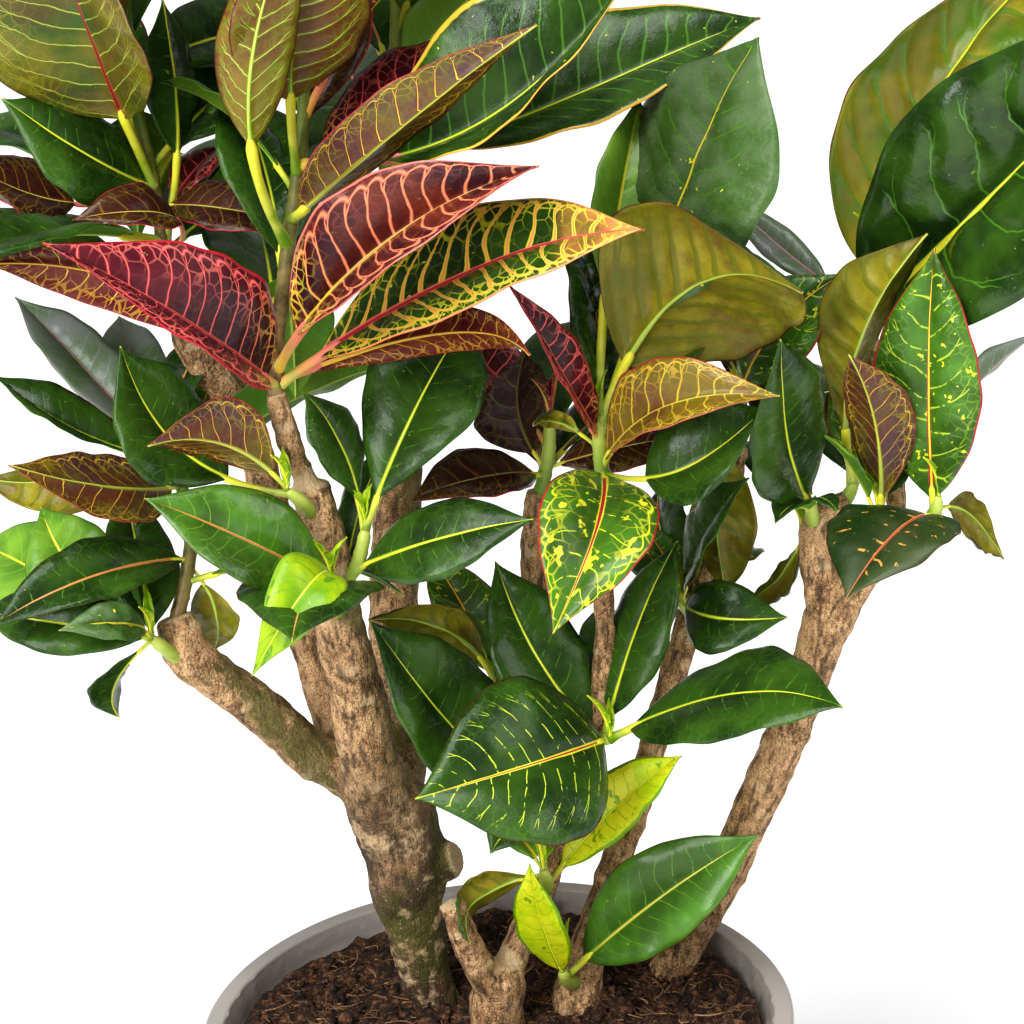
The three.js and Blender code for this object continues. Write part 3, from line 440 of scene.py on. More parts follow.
# What each leaf face looks like. Colours are names in the palette. rib: the midrib's colour, the colour
# beside it, and their widths in millimetres. side: the same of the side veins, with widths as a share of
# their spacing, and how far out they reach. net: colour, strength and cell size in millimetres, with web
# the width of its strands. dash: how broken the side veins are. loop: width of the line that joins them.
# margin: colour and width. spots: colour, how rare and how large. flush: colour and strength of clouds.
# blush and foot: colour and strength at the tip and at the foot. wrinkle: height of bumps in metres.
# What a look leaves out is as in the plain one.
PLAIN_LOOK = {"tissue": ("deep_green", "night_green"), "net": ("mid_green", 0.2, 5.0), "dash": 0.0,
    "loop": 0.0, "web": 0.035, "wrinkle": 0.0005}
LOOKS = {
    "deep": {"rib": ("yellow_vein", "fresh_green", 1.5, 0.6),
        "side": ("mid_green", "mid_green", 0.008, 0.03, 0.6), "dash": 0.5},
    "deep_red": {"rib": ("coral", "gold", 1.1, 0.6), "side": ("mid_green", "mid_green", 0.01, 0.03, 0.6),
        "net": ("mid_green", 0.25, 5.0), "margin": ("wine", 0.012), "dash": 0.5},
    "dusky": {"tissue": ("dusk", "night_green"), "rib": ("crimson", "orange", 1.1, 0.7),
        "side": ("orange", "gold", 0.05, 0.04, 0.9), "net": ("mid_green", 0.1, 5.0), "dash": 0.62,
        "margin": ("wine", 0.012), "rough": 0.42, "coat": 0.05},
    "bright": {"tissue": ("fresh_green", "mid_green"), "rib": ("gold", "yellow_vein", 1.0, 0.9),
        "side": ("fresh_green", "fresh_green", 0.014, 0.05, 0.8), "net": ("fresh_green", 0.25, 4.5),
        "margin": ("wine", 0.01)},
    "lime": {"tissue": ("lime", "lime_dark"), "rib": ("yellow_vein", "fresh_green", 1.0, 0.7),
        "side": ("fresh_green", "lime_dark", 0.016, 0.05, 0.85), "net": ("fresh_green", 0.3, 4.0),
        "margin": ("fresh_green", 0.06), "spots": ("mid_green", 0.6, 9.0)},
    "young": {"tissue": ("young", "lime"), "rib": ("yellow_vein", "lime_dark", 1.0, 0.6),
        "side": ("lime_dark", "lime", 0.016, 0.05, 0.85), "net": ("lime_dark", 0.3, 4.0),
        "margin": ("lime_dark", 0.1), "spots": ("lime_dark", 0.66, 8.0)},
    "plain": {"tissue": ("mid_green", "deep_green"), "rib": ("gold", "fresh_green", 0.9, 0.7),
        "side": ("fresh_green", "mid_green", 0.006, 0.03, 0.75), "net": ("mid_green", 0.15, 5.0),
        "dash": 0.42, "margin": ("wine", 0.012), "rough": 0.32, "coat": 0.2},
    "fresh": {"tissue": ("mid_green", "deep_green"), "rib": ("crimson", "gold", 0.9, 0.6),
        "side": ("fresh_green", "mid_green", 0.012, 0.04, 0.7), "net": ("fresh_green", 0.2, 5.0),
        "margin": ("wine", 0.012), "rough": 0.3, "coat": 0.5},
    "matte": {"tissue": ("grey_green", "deep_green"), "rib": ("gold", "yellow_vein", 0.9, 0.6),
        "side": ("mid_green", "mid_green", 0.01, 0.03, 0.7), "net": ("mid_green", 0.2, 4.0),
        "spots": ("yellow_vein", 0.7, 6.0), "rough": 0.38, "coat": 0.05, "wrinkle": 0.0012},
    "puckered": {"rib": ("yellow_vein", "fresh_green", 2.6, 0.6),
        "side": ("mid_green", "mid_green", 0.008, 0.02, 0.85), "net": ("deep_green", 0.2, 6.0),
        "spots": ("lime_dark", 0.74, 4.0), "rough": 0.24, "coat": 0.25, "wrinkle": 0.0007},
    "dashed": {"rib": ("crimson", "yellow_vein", 1.0, 1.0),
        "side": ("yellow_vein", "fresh_green", 0.018, 0.03, 0.86), "dash": 0.48, "margin": ("wine", 0.01)},
    "speckled": {"tissue": ("mid_green", "deep_green"), "rib": ("yellow_vein", "crimson", 1.3, 0.8),
        "side": ("yellow_vein", "fresh_green", 0.014, 0.05, 0.9), "net": ("fresh_green", 0.4, 5.5),
        "spots": ("yellow_vein", 0.66, 4.0), "margin": ("crimson", 0.03), "dash": 0.47, "web": 0.03},
    "hero": {"rib": ("crimson", "coral", 2.6, 0.9), "side": ("orange", "yellow_vein", 0.06, 0.06, 0.95),
        "net": ("yellow_vein", 0.55, 6.0), "margin": ("orange", 0.035), "blush": ("orange", 0.85),
        "loop": 0.05, "spots": ("yellow_vein", 0.7, 3.0)},
    "heart": {"tissue": ("deep_green", "mid_green"), "rib": ("crimson", "yellow_vein", 2.1, 1.0),
        "side": ("yellow_vein", "lime_dark", 0.022, 0.04, 0.9), "net": ("yellow_vein", 0.4, 7.0),
        "spots": ("yellow_vein", 0.6, 7.0), "margin": ("crimson", 0.03), "loop": 0.04, "web": 0.03,
        "dash": 0.5},
    "wine_net": {"tissue": ("wine", "wine_dark"), "rib": ("crimson", "coral", 1.5, 0.7),
        "side": ("coral", "crimson", 0.03, 0.05, 0.93), "net": ("coral", 0.5, 5.5),
        "margin": ("crimson", 0.04), "foot": ("yellow_vein", 0.4), "loop": 0.05},
    "wine_rib": {"tissue": ("wine_brown", "wine_dark"), "rib": ("coral", "yellow_vein", 1.5, 0.7),
        "side": ("orange", "coral", 0.04, 0.045, 0.86), "net": ("coral", 0.12, 5.5),
        "margin": ("coral", 0.03), "foot": ("yellow_vein", 0.75), "loop": 0.05},
    "bronze": {"tissue": ("bronze", "wine_dark"), "rib": ("stalk", "wine_brown", 0.9, 0.9),
        "side": ("olive_dark", "wine_brown", 0.03, 0.06, 0.86), "net": ("olive_dark", 0.4, 4.5),
        "margin": ("crimson", 0.025)},
    "bronze_edge": {"rib": ("yellow_vein", "fresh_green", 1.3, 0.8),
        "side": ("mid_green", "mid_green", 0.012, 0.05, 0.8), "margin": ("gold", 0.045),
        "spots": ("yellow_vein", 0.72, 4.0)},
    # The grey leaves' pale tone is partly their own grey and partly painted sheen
    "grey": {"tissue": ("slate", "grey_green"), "rib": ("coral", "slate", 0.6, 0.6),
        "side": ("slate", "slate", 0.02, 0.05, 0.85), "net": ("slate", 0.2, 5.0), "rough": 0.34,
        "coat": 0.3},
    "green_back": {"tissue": ("leaf_back", "mid_green"), "rib": ("stalk", "lime_dark", 1.4, 0.6),
        "side": ("lime_dark", "leaf_back", 0.03, 0.05, 0.88), "net": ("lime_dark", 0.3, 4.0), "rough": 0.42,
        "coat": 0.04},
    "lime_back": {"tissue": ("lime_dark", "lime"), "rib": ("yellow_vein", "lime", 1.2, 0.6),
        "side": ("yellow_vein", "lime", 0.03, 0.06, 0.88), "net": ("yellow_vein", 0.3, 4.0), "rough": 0.42,
        "coat": 0.06},
    # On olive backs the wide dark olive band beside each side vein is painted shade along the ribs of the
    # relief
    "olive_back": {"tissue": ("olive", "olive_dark"), "rib": ("stalk", "lime_dark", 1.5, 0.6),
        "side": ("leaf_back", "olive_dark", 0.02, 0.16, 0.95), "net": ("leaf_back", 0.3, 5.0),
        "flush": ("brown_back", 0.6), "margin": ("wine", 0.012), "rough": 0.38, "coat": 0.08},
    "blister_back": {"tissue": ("olive", "leaf_back"), "rib": ("yellow_vein", "lime_dark", 1.5, 0.6),
        "side": ("lime_dark", "leaf_back", 0.012, 0.08, 0.95), "net": ("lime_dark", 0.25, 6.0),
        "flush": ("olive_brown", 0.5), "margin": ("wine", 0.015), "rough": 0.34, "coat": 0.12},
    "dim_back": {"tissue": ("olive_dark", "olive_brown"), "rib": ("stalk", "lime_dark", 1.6, 0.7),
        "side": ("stalk", "olive_dark", 0.03, 0.12, 0.92), "net": ("lime_dark", 0.35, 5.0),
        "flush": ("brown_back", 0.75), "margin": ("wine", 0.02), "rough": 0.36, "coat": 0.1},
    # This back is an olive back made darker: partly its own olive, partly painted shade on the leaf at the
    # crown's top left
    "red_rib_back": {"tissue": ("olive_dark", "deep_green"), "rib": ("wine_brown", "crimson", 2.2, 0.8),
        "side": ("stalk", "olive_dark", 0.022, 0.05, 0.92), "net": ("olive", 0.3, 6.0),
        "flush": ("brown_back", 0.5), "margin": ("wine", 0.012), "rough": 0.34, "coat": 0.12},
    "gold_back": {"tissue": ("olive_brown", "brown_back"), "rib": ("stalk", "gold", 1.2, 0.6),
        "side": ("gold", "olive", 0.03, 0.05, 0.92), "net": ("gold", 0.5, 4.5),
        "flush": ("olive_dark", 0.8), "margin": ("crimson", 0.025), "rough": 0.34, "coat": 0.12,
        "loop": 0.03},
    "brown_back": {"tissue": ("brown_back", "purple_brown"), "rib": ("stalk", "olive", 1.0, 0.6),
        "side": ("gold", "brown_back", 0.025, 0.05, 0.9), "net": ("olive", 0.5, 4.5),
        "flush": ("olive_dark", 0.55), "margin": ("crimson", 0.02), "rough": 0.36, "coat": 0.1,
        "loop": 0.03},
    "wine_back": {"tissue": ("wine_brown", "wine"), "rib": ("gold", "wine_brown", 1.1, 0.6),
        "side": ("gold", "wine_brown", 0.03, 0.05, 0.88), "net": ("gold", 0.45, 4.5),
        "margin": ("crimson", 0.025), "rough": 0.34, "coat": 0.14},
    "purple_back": {"tissue": ("purple_brown", "wine_dark"),
        "rib": ("olive_dark", "purple_brown", 1.4, 0.7),
        "side": ("olive_dark", "purple_brown", 0.03, 0.05, 0.88), "net": ("olive_dark", 0.6, 5.0),
        "rough": 0.36, "coat": 0.1},
}

# Each kind of leaf: its face, its back, and how puckered it is and how far apart its side veins
# are beside a plain leaf. A kind that isn't here has the face of its name and a plain green back.
KINDS = {
    "deep": ("deep", "green_back", 1.3, 1), "matte": ("matte", "green_back", 5, 1.4),
    "puckered": ("puckered", "green_back", 8, 2.3), "speckled": ("speckled", "green_back", 2.2, 1.3),
    "heart": ("heart", "green_back", 1.3, 1.25), "hero": ("hero", "brown_back", 1.4, 1),
    "lime": ("lime", "lime_back", 1, 1), "young": ("young", "young", 1, 1),
    "wine_net": ("wine_net", "wine_back", 1.3, 1), "wine_rib": ("wine_rib", "wine_back", 1.4, 1),
    "bronze": ("bronze", "wine_back", 1, 1), "bronze_edge": ("bronze_edge", "wine_back", 1, 1),
    "grey": ("grey", "wine_back", 1, 1), "olive": ("deep_red", "olive_back", 4.6, 1.25),
    "olive_dim": ("deep_red", "dim_back", 2.6, 1), "olive_red": ("deep_red", "red_rib_back", 2.4, 1),
    "blistered": ("deep_red", "blister_back", 7, 2), "gold_net": ("wine_rib", "gold_back", 1.5, 1),
    "brown_net": ("bronze", "brown_back", 1, 1), "purple": ("bronze", "purple_back", 1.8, 1.4),
}
WARM_STALKED = ("wine_net", "wine_rib", "bronze", "hero", "bronze_edge")

# Leaf stalks and young stems: two colours that pass into each other and one at the far end
STALKS = {
    "petiole_green": ("stalk", "lime_dark", "yellow_vein"),
    "petiole_warm": ("stalk", "gold", "coral"),
    "stem_green": ("lime_dark", "leaf_back", "stalk"),
    "stem_brown": ("stem", "bronze", "leaf_back"),
}

# What each shoot's hidden leaves may be, by the shoot's slot
USUAL_SLOT = "leaf_green"
SPIRAL_KINDS = {
    "leaf_green": ("deep", "deep_red", "deep", "speckled", "olive"),
    "leaf_wine": ("bronze", "wine_net", "deep", "deep_red", "bronze", "olive", "deep"),
    "leaf_lime": ("bright", "lime"),
    "leaf_olive": ("deep", "olive", "speckled"),
}


def paint(code):
    """A colour in linear light from its six-figure screen code."""
    shares = [int(code[i:i + 2], 16) / 255 for i in (0, 2, 4)]
    return tuple(c / 12.92 if c <= 0.04045 else ((c + 0.055) / 1.055) ** 2.4 for c in shares)


def dice(seed):
    """Random numbers from 0 to 1 that are the same each time for the same seed."""
    state = seed & 0xFFFFFFFF
    while True:
        state = (state * 1664525 + 1013904223) & 0xFFFFFFFF
        yield state / 4294967296


def seed_of(name):
    return sum(map(ord, name))


def smooth(value, low, high):
    share = np.clip((value - low) / (high - low), 0, 1)
    return share * share * (3 - 2 * share)


def bell(value):
    return np.exp(-value ** 2)


def grain(points, scale, seed=0.0):
    """Smooth noise from -1 to 1 at each point."""
    shift = Vector((seed, seed * 1.7, seed * 0.6))
    return np.array([noise.noise(Vector(p) + shift) for p in (points * scale).tolist()])


def cells(points, scale):
    """How far each point is from the middle of its cell."""
    return np.array([noise.voronoi(Vector(p), distance_metric="DISTANCE")[0][0]
                     for p in (points * scale).tolist()])


def unit(vector):
    vector = np.asarray(vector, float)
    return vector / np.maximum(np.linalg.norm(vector, axis=-1, keepdims=True), 1e-9)


def turns(steps):
    """Evenly spaced angles round a circle."""
    return np.arange(steps) * FULL_TURN / steps


def run_along(line):
    """How far along a row of points each of them lies."""
    return np.cumsum(np.r_[0, np.linalg.norm(np.diff(line[:, :3], axis=0), axis=1)])


def rail(points, step):
    """A smooth row of points through the given ones, about one for each step of length."""
    points = np.asarray(points, float)
    padded = np.vstack([2 * points[0] - points[1], points, 2 * points[-1] - points[-2]])
    out = []
    for i in range(1, len(padded) - 2):
        before, here, after, beyond = padded[i - 1:i + 3]
        count = max(int(np.linalg.norm((after - here)[:3]) / step), 1)
        for k in range(count):
            u = k / count
            out.append(0.5 * (2 * here + (after - before) * u
                              + (2 * before - 5 * here + 4 * after - beyond) * u ** 2
                              + (3 * here - before - 3 * after + beyond) * u ** 3))
    out.append(points[-1])
    return np.array(out)


def frames(centres):
    """The direction along a row of points and two directions across it at each."""
    along = unit(np.gradient(centres, axis=0))
    across = np.cross([0.0, 1.0, 0.0], along)
    across = unit(np.where(np.linalg.norm(across, axis=1, keepdims=True) < 0.05, [1.0, 0, 0], across))
    return along, across, np.cross(along, across)


def grid_faces(rows, columns, closed=False):
    """Four-sided faces over a grid of points, closed round its columns if asked."""
    row = np.arange(rows - 1)[:, None]
    column = np.arange(columns if closed else columns - 1)[None, :]
    here = row * columns + column
    beside = row * columns + (column + 1) % columns
    return np.stack([here, beside, beside + columns, here + columns], axis=-1).reshape(-1, 4)


def fan(hub, ring):
    """Three-sided faces from one point to each step of a closed ring."""
    return np.stack([np.full(len(ring), hub), ring, np.roll(ring, -1)], axis=-1)


def spread(*values):
    """Three values for each point, from arrays of shapes that fit each other."""
    return np.stack(np.broadcast_arrays(*values), axis=-1)


def link(thing):
    bpy.context.scene.collection.objects.link(thing)
    return thing


def modified(thing):
    """A new mesh of a thing with its modifiers applied."""
    return bpy.data.meshes.new_from_object(thing.evaluated_get(bpy.context.evaluated_depsgraph_get()))


def read_vectors(mesh, key):
    """One stored vector for each point of a mesh."""
    values = np.empty(len(mesh.vertices) * 3)
    mesh.vertices.foreach_get(key, values)
    return values.reshape(-1, 3)


def keep_vectors(mesh, name, values):
    made = mesh.attributes.new(name, "FLOAT_VECTOR", "POINT")
    made.data.foreach_set("vector", values.astype(np.float32).ravel())


def place_piece(name, mesh, slot, replaced):
    """A mesh as a piece of the plant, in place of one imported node."""
    piece = link(bpy.data.objects.new(name, mesh))
    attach(piece, "root")
    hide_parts(replaced)
    return piece


class Skin:
    """Gathers points in millimetres and faces, and makes them one mesh in metres."""

    def __init__(self):
        self.points, self.faces, self.finishes, self.flats = [], [], [], []
        self.place, self.share, self.count = [], [], 0

    def add(self, points, faces, finish, place=None, share=None):
        """Rows of faces number the given points. Returns the first point's number."""
        points = np.asarray(points, float).reshape(-1, 3)
        first = self.count
        self.points.append(points)
        self.place.append(np.zeros_like(points) if place is None else place.reshape(-1, 3))
        self.share.append(np.zeros_like(points) if share is None else share.reshape(-1, 3))
        self.count += len(points)
        self.cover(np.asarray(faces) + first, finish)
        return first

    def cover(self, faces, finish, flat=False):
        """More faces over points already added."""
        self.faces.append(np.asarray(faces, int))
        self.finishes.append(np.full(len(faces), finish))
        self.flats.append(np.full(len(faces), flat))

    def mesh(self, name, finishes):
        """The mesh, with the finishes that its faces number and no others."""
        held = sorted(set(np.concatenate(self.finishes).tolist()))
        points = np.vstack(self.points) * MM
        sizes = np.concatenate([np.full(len(f), f.shape[1]) for f in self.faces])
        corners = np.concatenate([f.ravel() for f in self.faces])
        mesh = bpy.data.meshes.new(name)
        mesh.vertices.add(len(points))
        mesh.vertices.foreach_set("co", points.astype(np.float32).ravel())
        mesh.loops.add(len(corners))
        mesh.loops.foreach_set("vertex_index", corners.astype(np.int32))
        mesh.polygons.add(len(sizes))
        mesh.polygons.foreach_set("loop_start", (np.cumsum(sizes) - sizes).astype(np.int32))
        numbers = np.searchsorted(held, np.concatenate(self.finishes))
        mesh.polygons.foreach_set("material_index", numbers.astype(np.int32))
        mesh.update(calc_edges=True)
        flat = mesh.attributes.new("sharp_face", "BOOLEAN", "FACE")
        flat.data.foreach_set("value", np.concatenate(self.flats))
        keep_vectors(mesh, "place", np.vstack(self.place))
        keep_vectors(mesh, "share", np.vstack(self.share))
        mesh.validate()
        for number in held:
            mesh.materials.append(finishes[number])
        return mesh


def add_tube(skin, centres, radii, sides, finish, chance):
    """A closed round tube."""
    _, across, over = frames(centres)
    turn = turns(sides)
    radii = np.broadcast_to(np.asarray(radii, float), (len(centres),))[:, None]
    ring = across[:, None] * np.cos(turn)[None, :, None] + over[:, None] * np.sin(turn)[None, :, None]
    points = centres[:, None] + ring * radii[..., None]
    run = run_along(centres)[:, None]
    place = spread(run * MM, turn[None, :] * radii * MM, chance)
    share = spread(run / run[-1], np.cos(turn)[None, :], 0.0)
    first = skin.add(points, grid_faces(len(centres), sides, closed=True), finish, place, share)
    end = first + np.arange(sides)[None, :]
    skin.cover(end[:, ::-1], finish)
    skin.cover(end + (len(centres) - 1) * sides, finish)


# Leaves


def stem_point(stem, height):
    """The point at a share of a stem's length."""
    points = np.asarray(stem, float)
    lengths = np.linalg.norm(np.diff(points, axis=0), axis=1)
    left = height * lengths.sum()
    i = 0
    while i < len(lengths) - 1 and left > lengths[i]:
        left -= lengths[i]
        i += 1
    return points[i] + (points[i + 1] - points[i]) * min(left / lengths[i], 1)


def outline(t, widest):
    """Half a blade's width at a share t of its length, from a narrow foot to a pointed tip."""
    skewed = np.power(np.clip(t, 0, 1), math.log(0.5) / math.log(widest))
    return np.power(np.sin(math.pi * np.clip(skewed, 1e-6, 1)).clip(0), 0.8 + 0.3 * smooth(t, 0.7, 1))


class Leaf:
    """One leaf's sizes in millimetres, its place on its stem and the line up its middle."""

    def __init__(self, stem, row, chance, pucker=1.0, apart=1.0, fine=True, curl=SEEN_CURL, widest=WIDEST,
                 turned=False):
        height, bearing, rise, self.length, self.width, self.arch, self.sweep, roll, fold, self.petiole = row
        bearing, rise, roll, self.fold = np.radians([bearing, rise, roll, fold])
        self.chance, self.pucker, self.apart, self.fine = chance, pucker, apart, fine
        self.curl, self.widest, self.turned = curl, widest, turned
        self.root = stem_point(stem, height)
        self.along = np.array([math.cos(bearing) * math.cos(rise), math.sin(bearing) * math.cos(rise),
                               math.sin(rise)])
        level = unit(np.cross(self.along, [0, 0, 1]))
        self.left = level * math.cos(roll) + np.cross(self.along, level) * math.sin(roll)
        self.face = np.cross(self.left, self.along)
        self.stalk = self.petiole / self.length
        self.blade = self.length - self.petiole
        self.size = np.clip(self.length / FULL_SIZE_LEAF, *STALK_SIZES)

    def middle(self, s):
        """Points at the shares s of the whole leaf's length, stalk and all."""
        bow = 4 * s * (1 - s)
        return (self.root + s * self.length * self.along + bow * self.arch * self.face
                + bow * self.sweep * self.left)


def blade_surface(leaf, settings):
    """The middle surface of a blade with its relief: its points, the way out of its face at each,
    whether its faces turn that way too, and for each point its share of the length (t) and of the half
    width (v), the half width there and the number of side veins passed."""
    face_length, face_width = SEEN_FACE if leaf.fine else HIDDEN_FACE
    rows = int(np.clip(leaf.blade / face_length, *ROWS))
    half_columns = int(np.clip(leaf.width / face_width, *HALF_COLUMNS))
    t = np.linspace(0, 1, rows + 1)[:, None]
    k = np.linspace(-1, 1, 2 * half_columns + 1)[None, :]
    v = np.sign(k) * np.abs(k) ** CROWDED_TO_RIB
    side = np.abs(v)
    flank = np.sign(v)
    phase = leaf.chance * 40

    # The margin, a little ragged, and never narrower than the stalk at the foot
    ragged = 1 + 0.018 * np.sin(9 * t + phase + flank) + 0.010 * np.sin(31 * t + 2 * phase * flank)
    half = (leaf.width / 2) * outline(t, leaf.widest) * ragged
    half = np.maximum(half, PETIOLE * 0.9 * (1 - t) + 0.12)

    # Side veins sweep forward to the margin, and the tissue between them swells
    spacing = leaf.apart * (VEIN_GAP + VEIN_GAP_GROWTH * leaf.blade)
    wobble = 0.16 * np.sin(7 * t + 3 * v + phase) + 0.09 * np.sin(23 * t - 5 * v + phase)
    sweep = half * (VEIN_SLANT * side + VEIN_BEND * side ** 3)
    run = (t * leaf.blade - sweep) / spacing + wobble + FLANK_SHIFT * (flank + 1) / 2
    gap = 0.5 - np.abs(run % 1 - 0.5)
    body = np.sin(math.pi * np.clip(t, 0, 1)) ** 0.5
    quilt = np.sin(math.pi * np.clip(gap * 1.7, 0, 0.5)) * body
    quilt = quilt * smooth(side, 0.02, 0.2) * (1 - smooth(side, 0.8, 1.0))

    # The two halves fold up from the midrib, bulge a little and wave along the margin
    lifted = (np.sqrt(v * v + 0.01) - 0.1) / (math.sqrt(1.01) - 0.1)
    ripple = np.sin(FULL_TURN * (2.6 * t + phase) + 1.9 * flank)
    ripple = ripple + 0.5 * np.sin(FULL_TURN * (5.3 * t + 2 * phase) + flank)
    rippled = settings.wave_height * (0.4 + leaf.width / 70) * ripple * side ** 2.4 * body ** 1.5
    camber = CAMBER * half * (side - side ** 2) * 4 * np.cos(leaf.fold)
    rise = half * lifted * math.sin(leaf.fold) + camber + rippled
    tip = np.clip((t - TIP_START) / (1 - TIP_START), 0, 1) ** 2 * leaf.curl * leaf.length
    centre = leaf.middle(leaf.stalk + (1 - leaf.stalk) * t) - tip * leaf.face
    points = (centre[:, None, :] + (half * v * math.cos(leaf.fold))[..., None] * leaf.left
              + rise[..., None] * leaf.face)

    # Relief stands out of the side that the viewer sees
    normal = unit(np.cross(np.gradient(points, axis=1), np.gradient(points, axis=0)))
    outward = normal.mean((0, 1)) @ leaf.face >= 0
    normal = normal if outward else -normal
    blister = 0
    if leaf.fine:
        blister = grain((points + 300 * leaf.chance).reshape(-1, 3), 0.055, leaf.chance).reshape(half.shape)
    relief = settings.vein_relief * leaf.pucker * (quilt + 0.8 * blister * body * (1 - side ** 4))
    points = points + (-relief if leaf.turned else relief)[..., None] * normal
    return points, normal, outward, t, v, half, run


def add_leaf(skin, leaf, finish, petiole_finish, settings):
    """A blade and its petiole. finish numbers the materials of the two faces, and a turned leaf
    shows its back outwards."""
    points, normal, outward, t, v, half, run = blade_surface(leaf, settings)
    across = half * v
    thick = settings.blade_thickness * (1 - 0.65 * np.abs(v) ** 6)
    rib_back = settings.midrib_height * (1 - 0.72 * t) * bell(across / (1.25 - 0.6 * t))
    rib_face = 0.28 * settings.midrib_height * (1 - 0.5 * t) * bell(across / 0.85)
    ribs = (rib_back, rib_face) if leaf.turned else (rib_face, rib_back)
    top, bottom = finish[::-1] if leaf.turned else finish
    place = spread(t * leaf.blade * MM, across * MM, leaf.chance * 3.0)
    share = spread(t, v, run)
    rows, columns = half.shape
    faces = grid_faces(rows, columns)
    other = faces[:, [0, 3, 2, 1]]
    upper, lower = (faces, other) if outward else (other, faces)
    above, below = ((thick / 2 + leaf.size * rib)[..., None] * normal for rib in ribs)
    first = skin.add(points + above, upper, top, place, share)
    second = skin.add(points - below, lower, bottom, place, share)
    row_ends = np.arange(rows) * columns
    rim = np.concatenate([np.arange(columns), row_ends[1:] + columns - 1,
                          (row_ends[-1] + np.arange(columns))[::-1][1:], row_ends[::-1][1:-1]])
    after = np.roll(rim, -1)
    edge = np.stack([first + rim, second + rim, second + after, first + after], axis=-1)
    skin.cover(edge if outward else edge[:, ::-1], bottom, flat=True)

    reach = leaf.stalk + (1 - leaf.stalk) * STALK_OVERLAP
    s = np.linspace(0, reach, max(int(leaf.petiole / 2.2), 5))[:, None]
    back = leaf.face if leaf.turned else -leaf.face
    centres = leaf.middle(s) + back * (0.35 * leaf.size * smooth(s, 0.4 * leaf.stalk, leaf.stalk))
    u = s[:, 0] / reach
    radii = PETIOLE * leaf.size * (1.0 + 0.42 * (1 - smooth(u, 0.0, 0.22)) + 0.16 * smooth(u, 0.6, 0.9))
    radii = radii * (1 - 0.82 * smooth(u, 0.86, 1.0))
    add_tube(skin, centres, radii, 10 if leaf.fine else 7, petiole_finish, leaf.chance)


def spiral_rows(spiral):
    """The rows of a shoot's leaves that follow the spiral of its stem and are kept."""
    roll = dice(spiral["seed"])

    def mix(key, share):
        low, high = spiral[key]
        return low + (high - low) * share

    for k in range(spiral["count"]):
        u = k / (spiral["count"] - 1)
        bearing = mix("bearing", (k * GOLDEN_TURN / 360) % 1) + 16 * (next(roll) - 0.5)
        rise = mix("rise", u) + 14 * (next(roll) - 0.5)
        length = mix("length", 1 - u) * (0.9 + 0.2 * next(roll))
        twist = 40 * (next(roll) - 0.5)
        if k in spiral["keeps"]:
            yield [mix("height", u), bearing, rise, length, length * 0.43, length * 0.09, 0, twist, 14,
                   length * 0.13]


def add_stem(skin, stem, finish, chance):
    """A young stem with the marks of fallen leaves, and the bud at its end."""
    line = rail([[*p, STEM_RADIUS * (1 - 0.35 * i / len(stem))] for i, p in enumerate(stem)], 1.6)
    rings = 0.34 * bell(((run_along(line) / LEAF_SCAR_PITCH + chance) % 1 - 0.5) / 0.12)
    radii = line[:, 3] + rings
    radii[-3:] *= [0.9, 0.7, 0.35]
    add_tube(skin, line[:, :3], radii, STEM_SIDES, finish, chance)


def add_shoot(skin, name, shoot, numbers, settings):
    """A stem, its seen leaves, its spiral leaves and two folded leaves in its bud."""
    roll = dice(seed_of(name))
    stem, slot = shoot["stem"], shoot.get("slot", USUAL_SLOT)

    def grow(kind, row, petiole=None, **shape):
        face, back, pucker, apart = KINDS.get(kind, (kind, "green_back", 1, 1))
        if shape.get("fine", True):
            shape |= {"pucker": pucker, "apart": apart}
        petiole = petiole or ("petiole_warm" if kind in WARM_STALKED else "petiole_green")
        leaf = Leaf(stem, row, next(roll), **shape)
        add_leaf(skin, leaf, (numbers[face], numbers[back]), numbers[petiole], settings)

    add_stem(skin, stem, numbers["stem_green" if len(stem) < 5 else "stem_brown"], next(roll))
    for kind, *row in shoot["leaves"]:
        shape = row.pop() if isinstance(row[-1], dict) else {}
        grow(kind, row, **shape)
    choices = SPIRAL_KINDS[slot]
    for row in spiral_rows(shoot["spiral"]) if "spiral" in shoot else ():
        grow(choices[int(next(roll) * len(choices))], row, fine=False, curl=HIDDEN_CURL)
    for turn in (20, 170):
        row = [0.99, turn + 90 * next(roll), 68, 17 + 9 * next(roll), 6, 2, 0, 0, 40, 1.5]
        grow("wine_net" if slot == "leaf_wine" else "lime", row, "petiole_green", fine=False)


# Wood


class Limbs:
    """The middle lines of one plant's limbs, for reading where a point on the bark lies."""

    def __init__(self, plant):
        rows, self.lengths = [], []
        for points in plant.values():
            line = rail(points, LIMB_STEP)
            run = run_along(line)
            rows.append(np.column_stack([line, run, np.full(len(line), len(self.lengths)),
                                         *frames(line[:, :3])]))
            self.lengths.append(run[-1])
        self.rows = np.vstack(rows)

    def read(self, points):
        """For each point: its limb, its place along it and round it, and the limb's radius."""
        nearest = []
        for start in range(0, len(points), READ_AT_ONCE):
            part = points[start:start + READ_AT_ONCE, None]
            apart = np.linalg.norm(part - self.rows[None, :, :3], axis=2) - self.rows[None, :, 3]
            nearest.append(apart.argmin(1))
        near = self.rows[np.concatenate(nearest)]
        way, across, over = near[:, 6:9], near[:, 9:12], near[:, 12:15]
        offset = points - near[:, :3]
        along = (offset * way).sum(1)
        flat = offset - along[:, None] * way
        turn = np.arctan2((flat * over).sum(1), (flat * across).sum(1))
        return near[:, 5].astype(int), near[:, 4] + along, turn, near[:, 3]


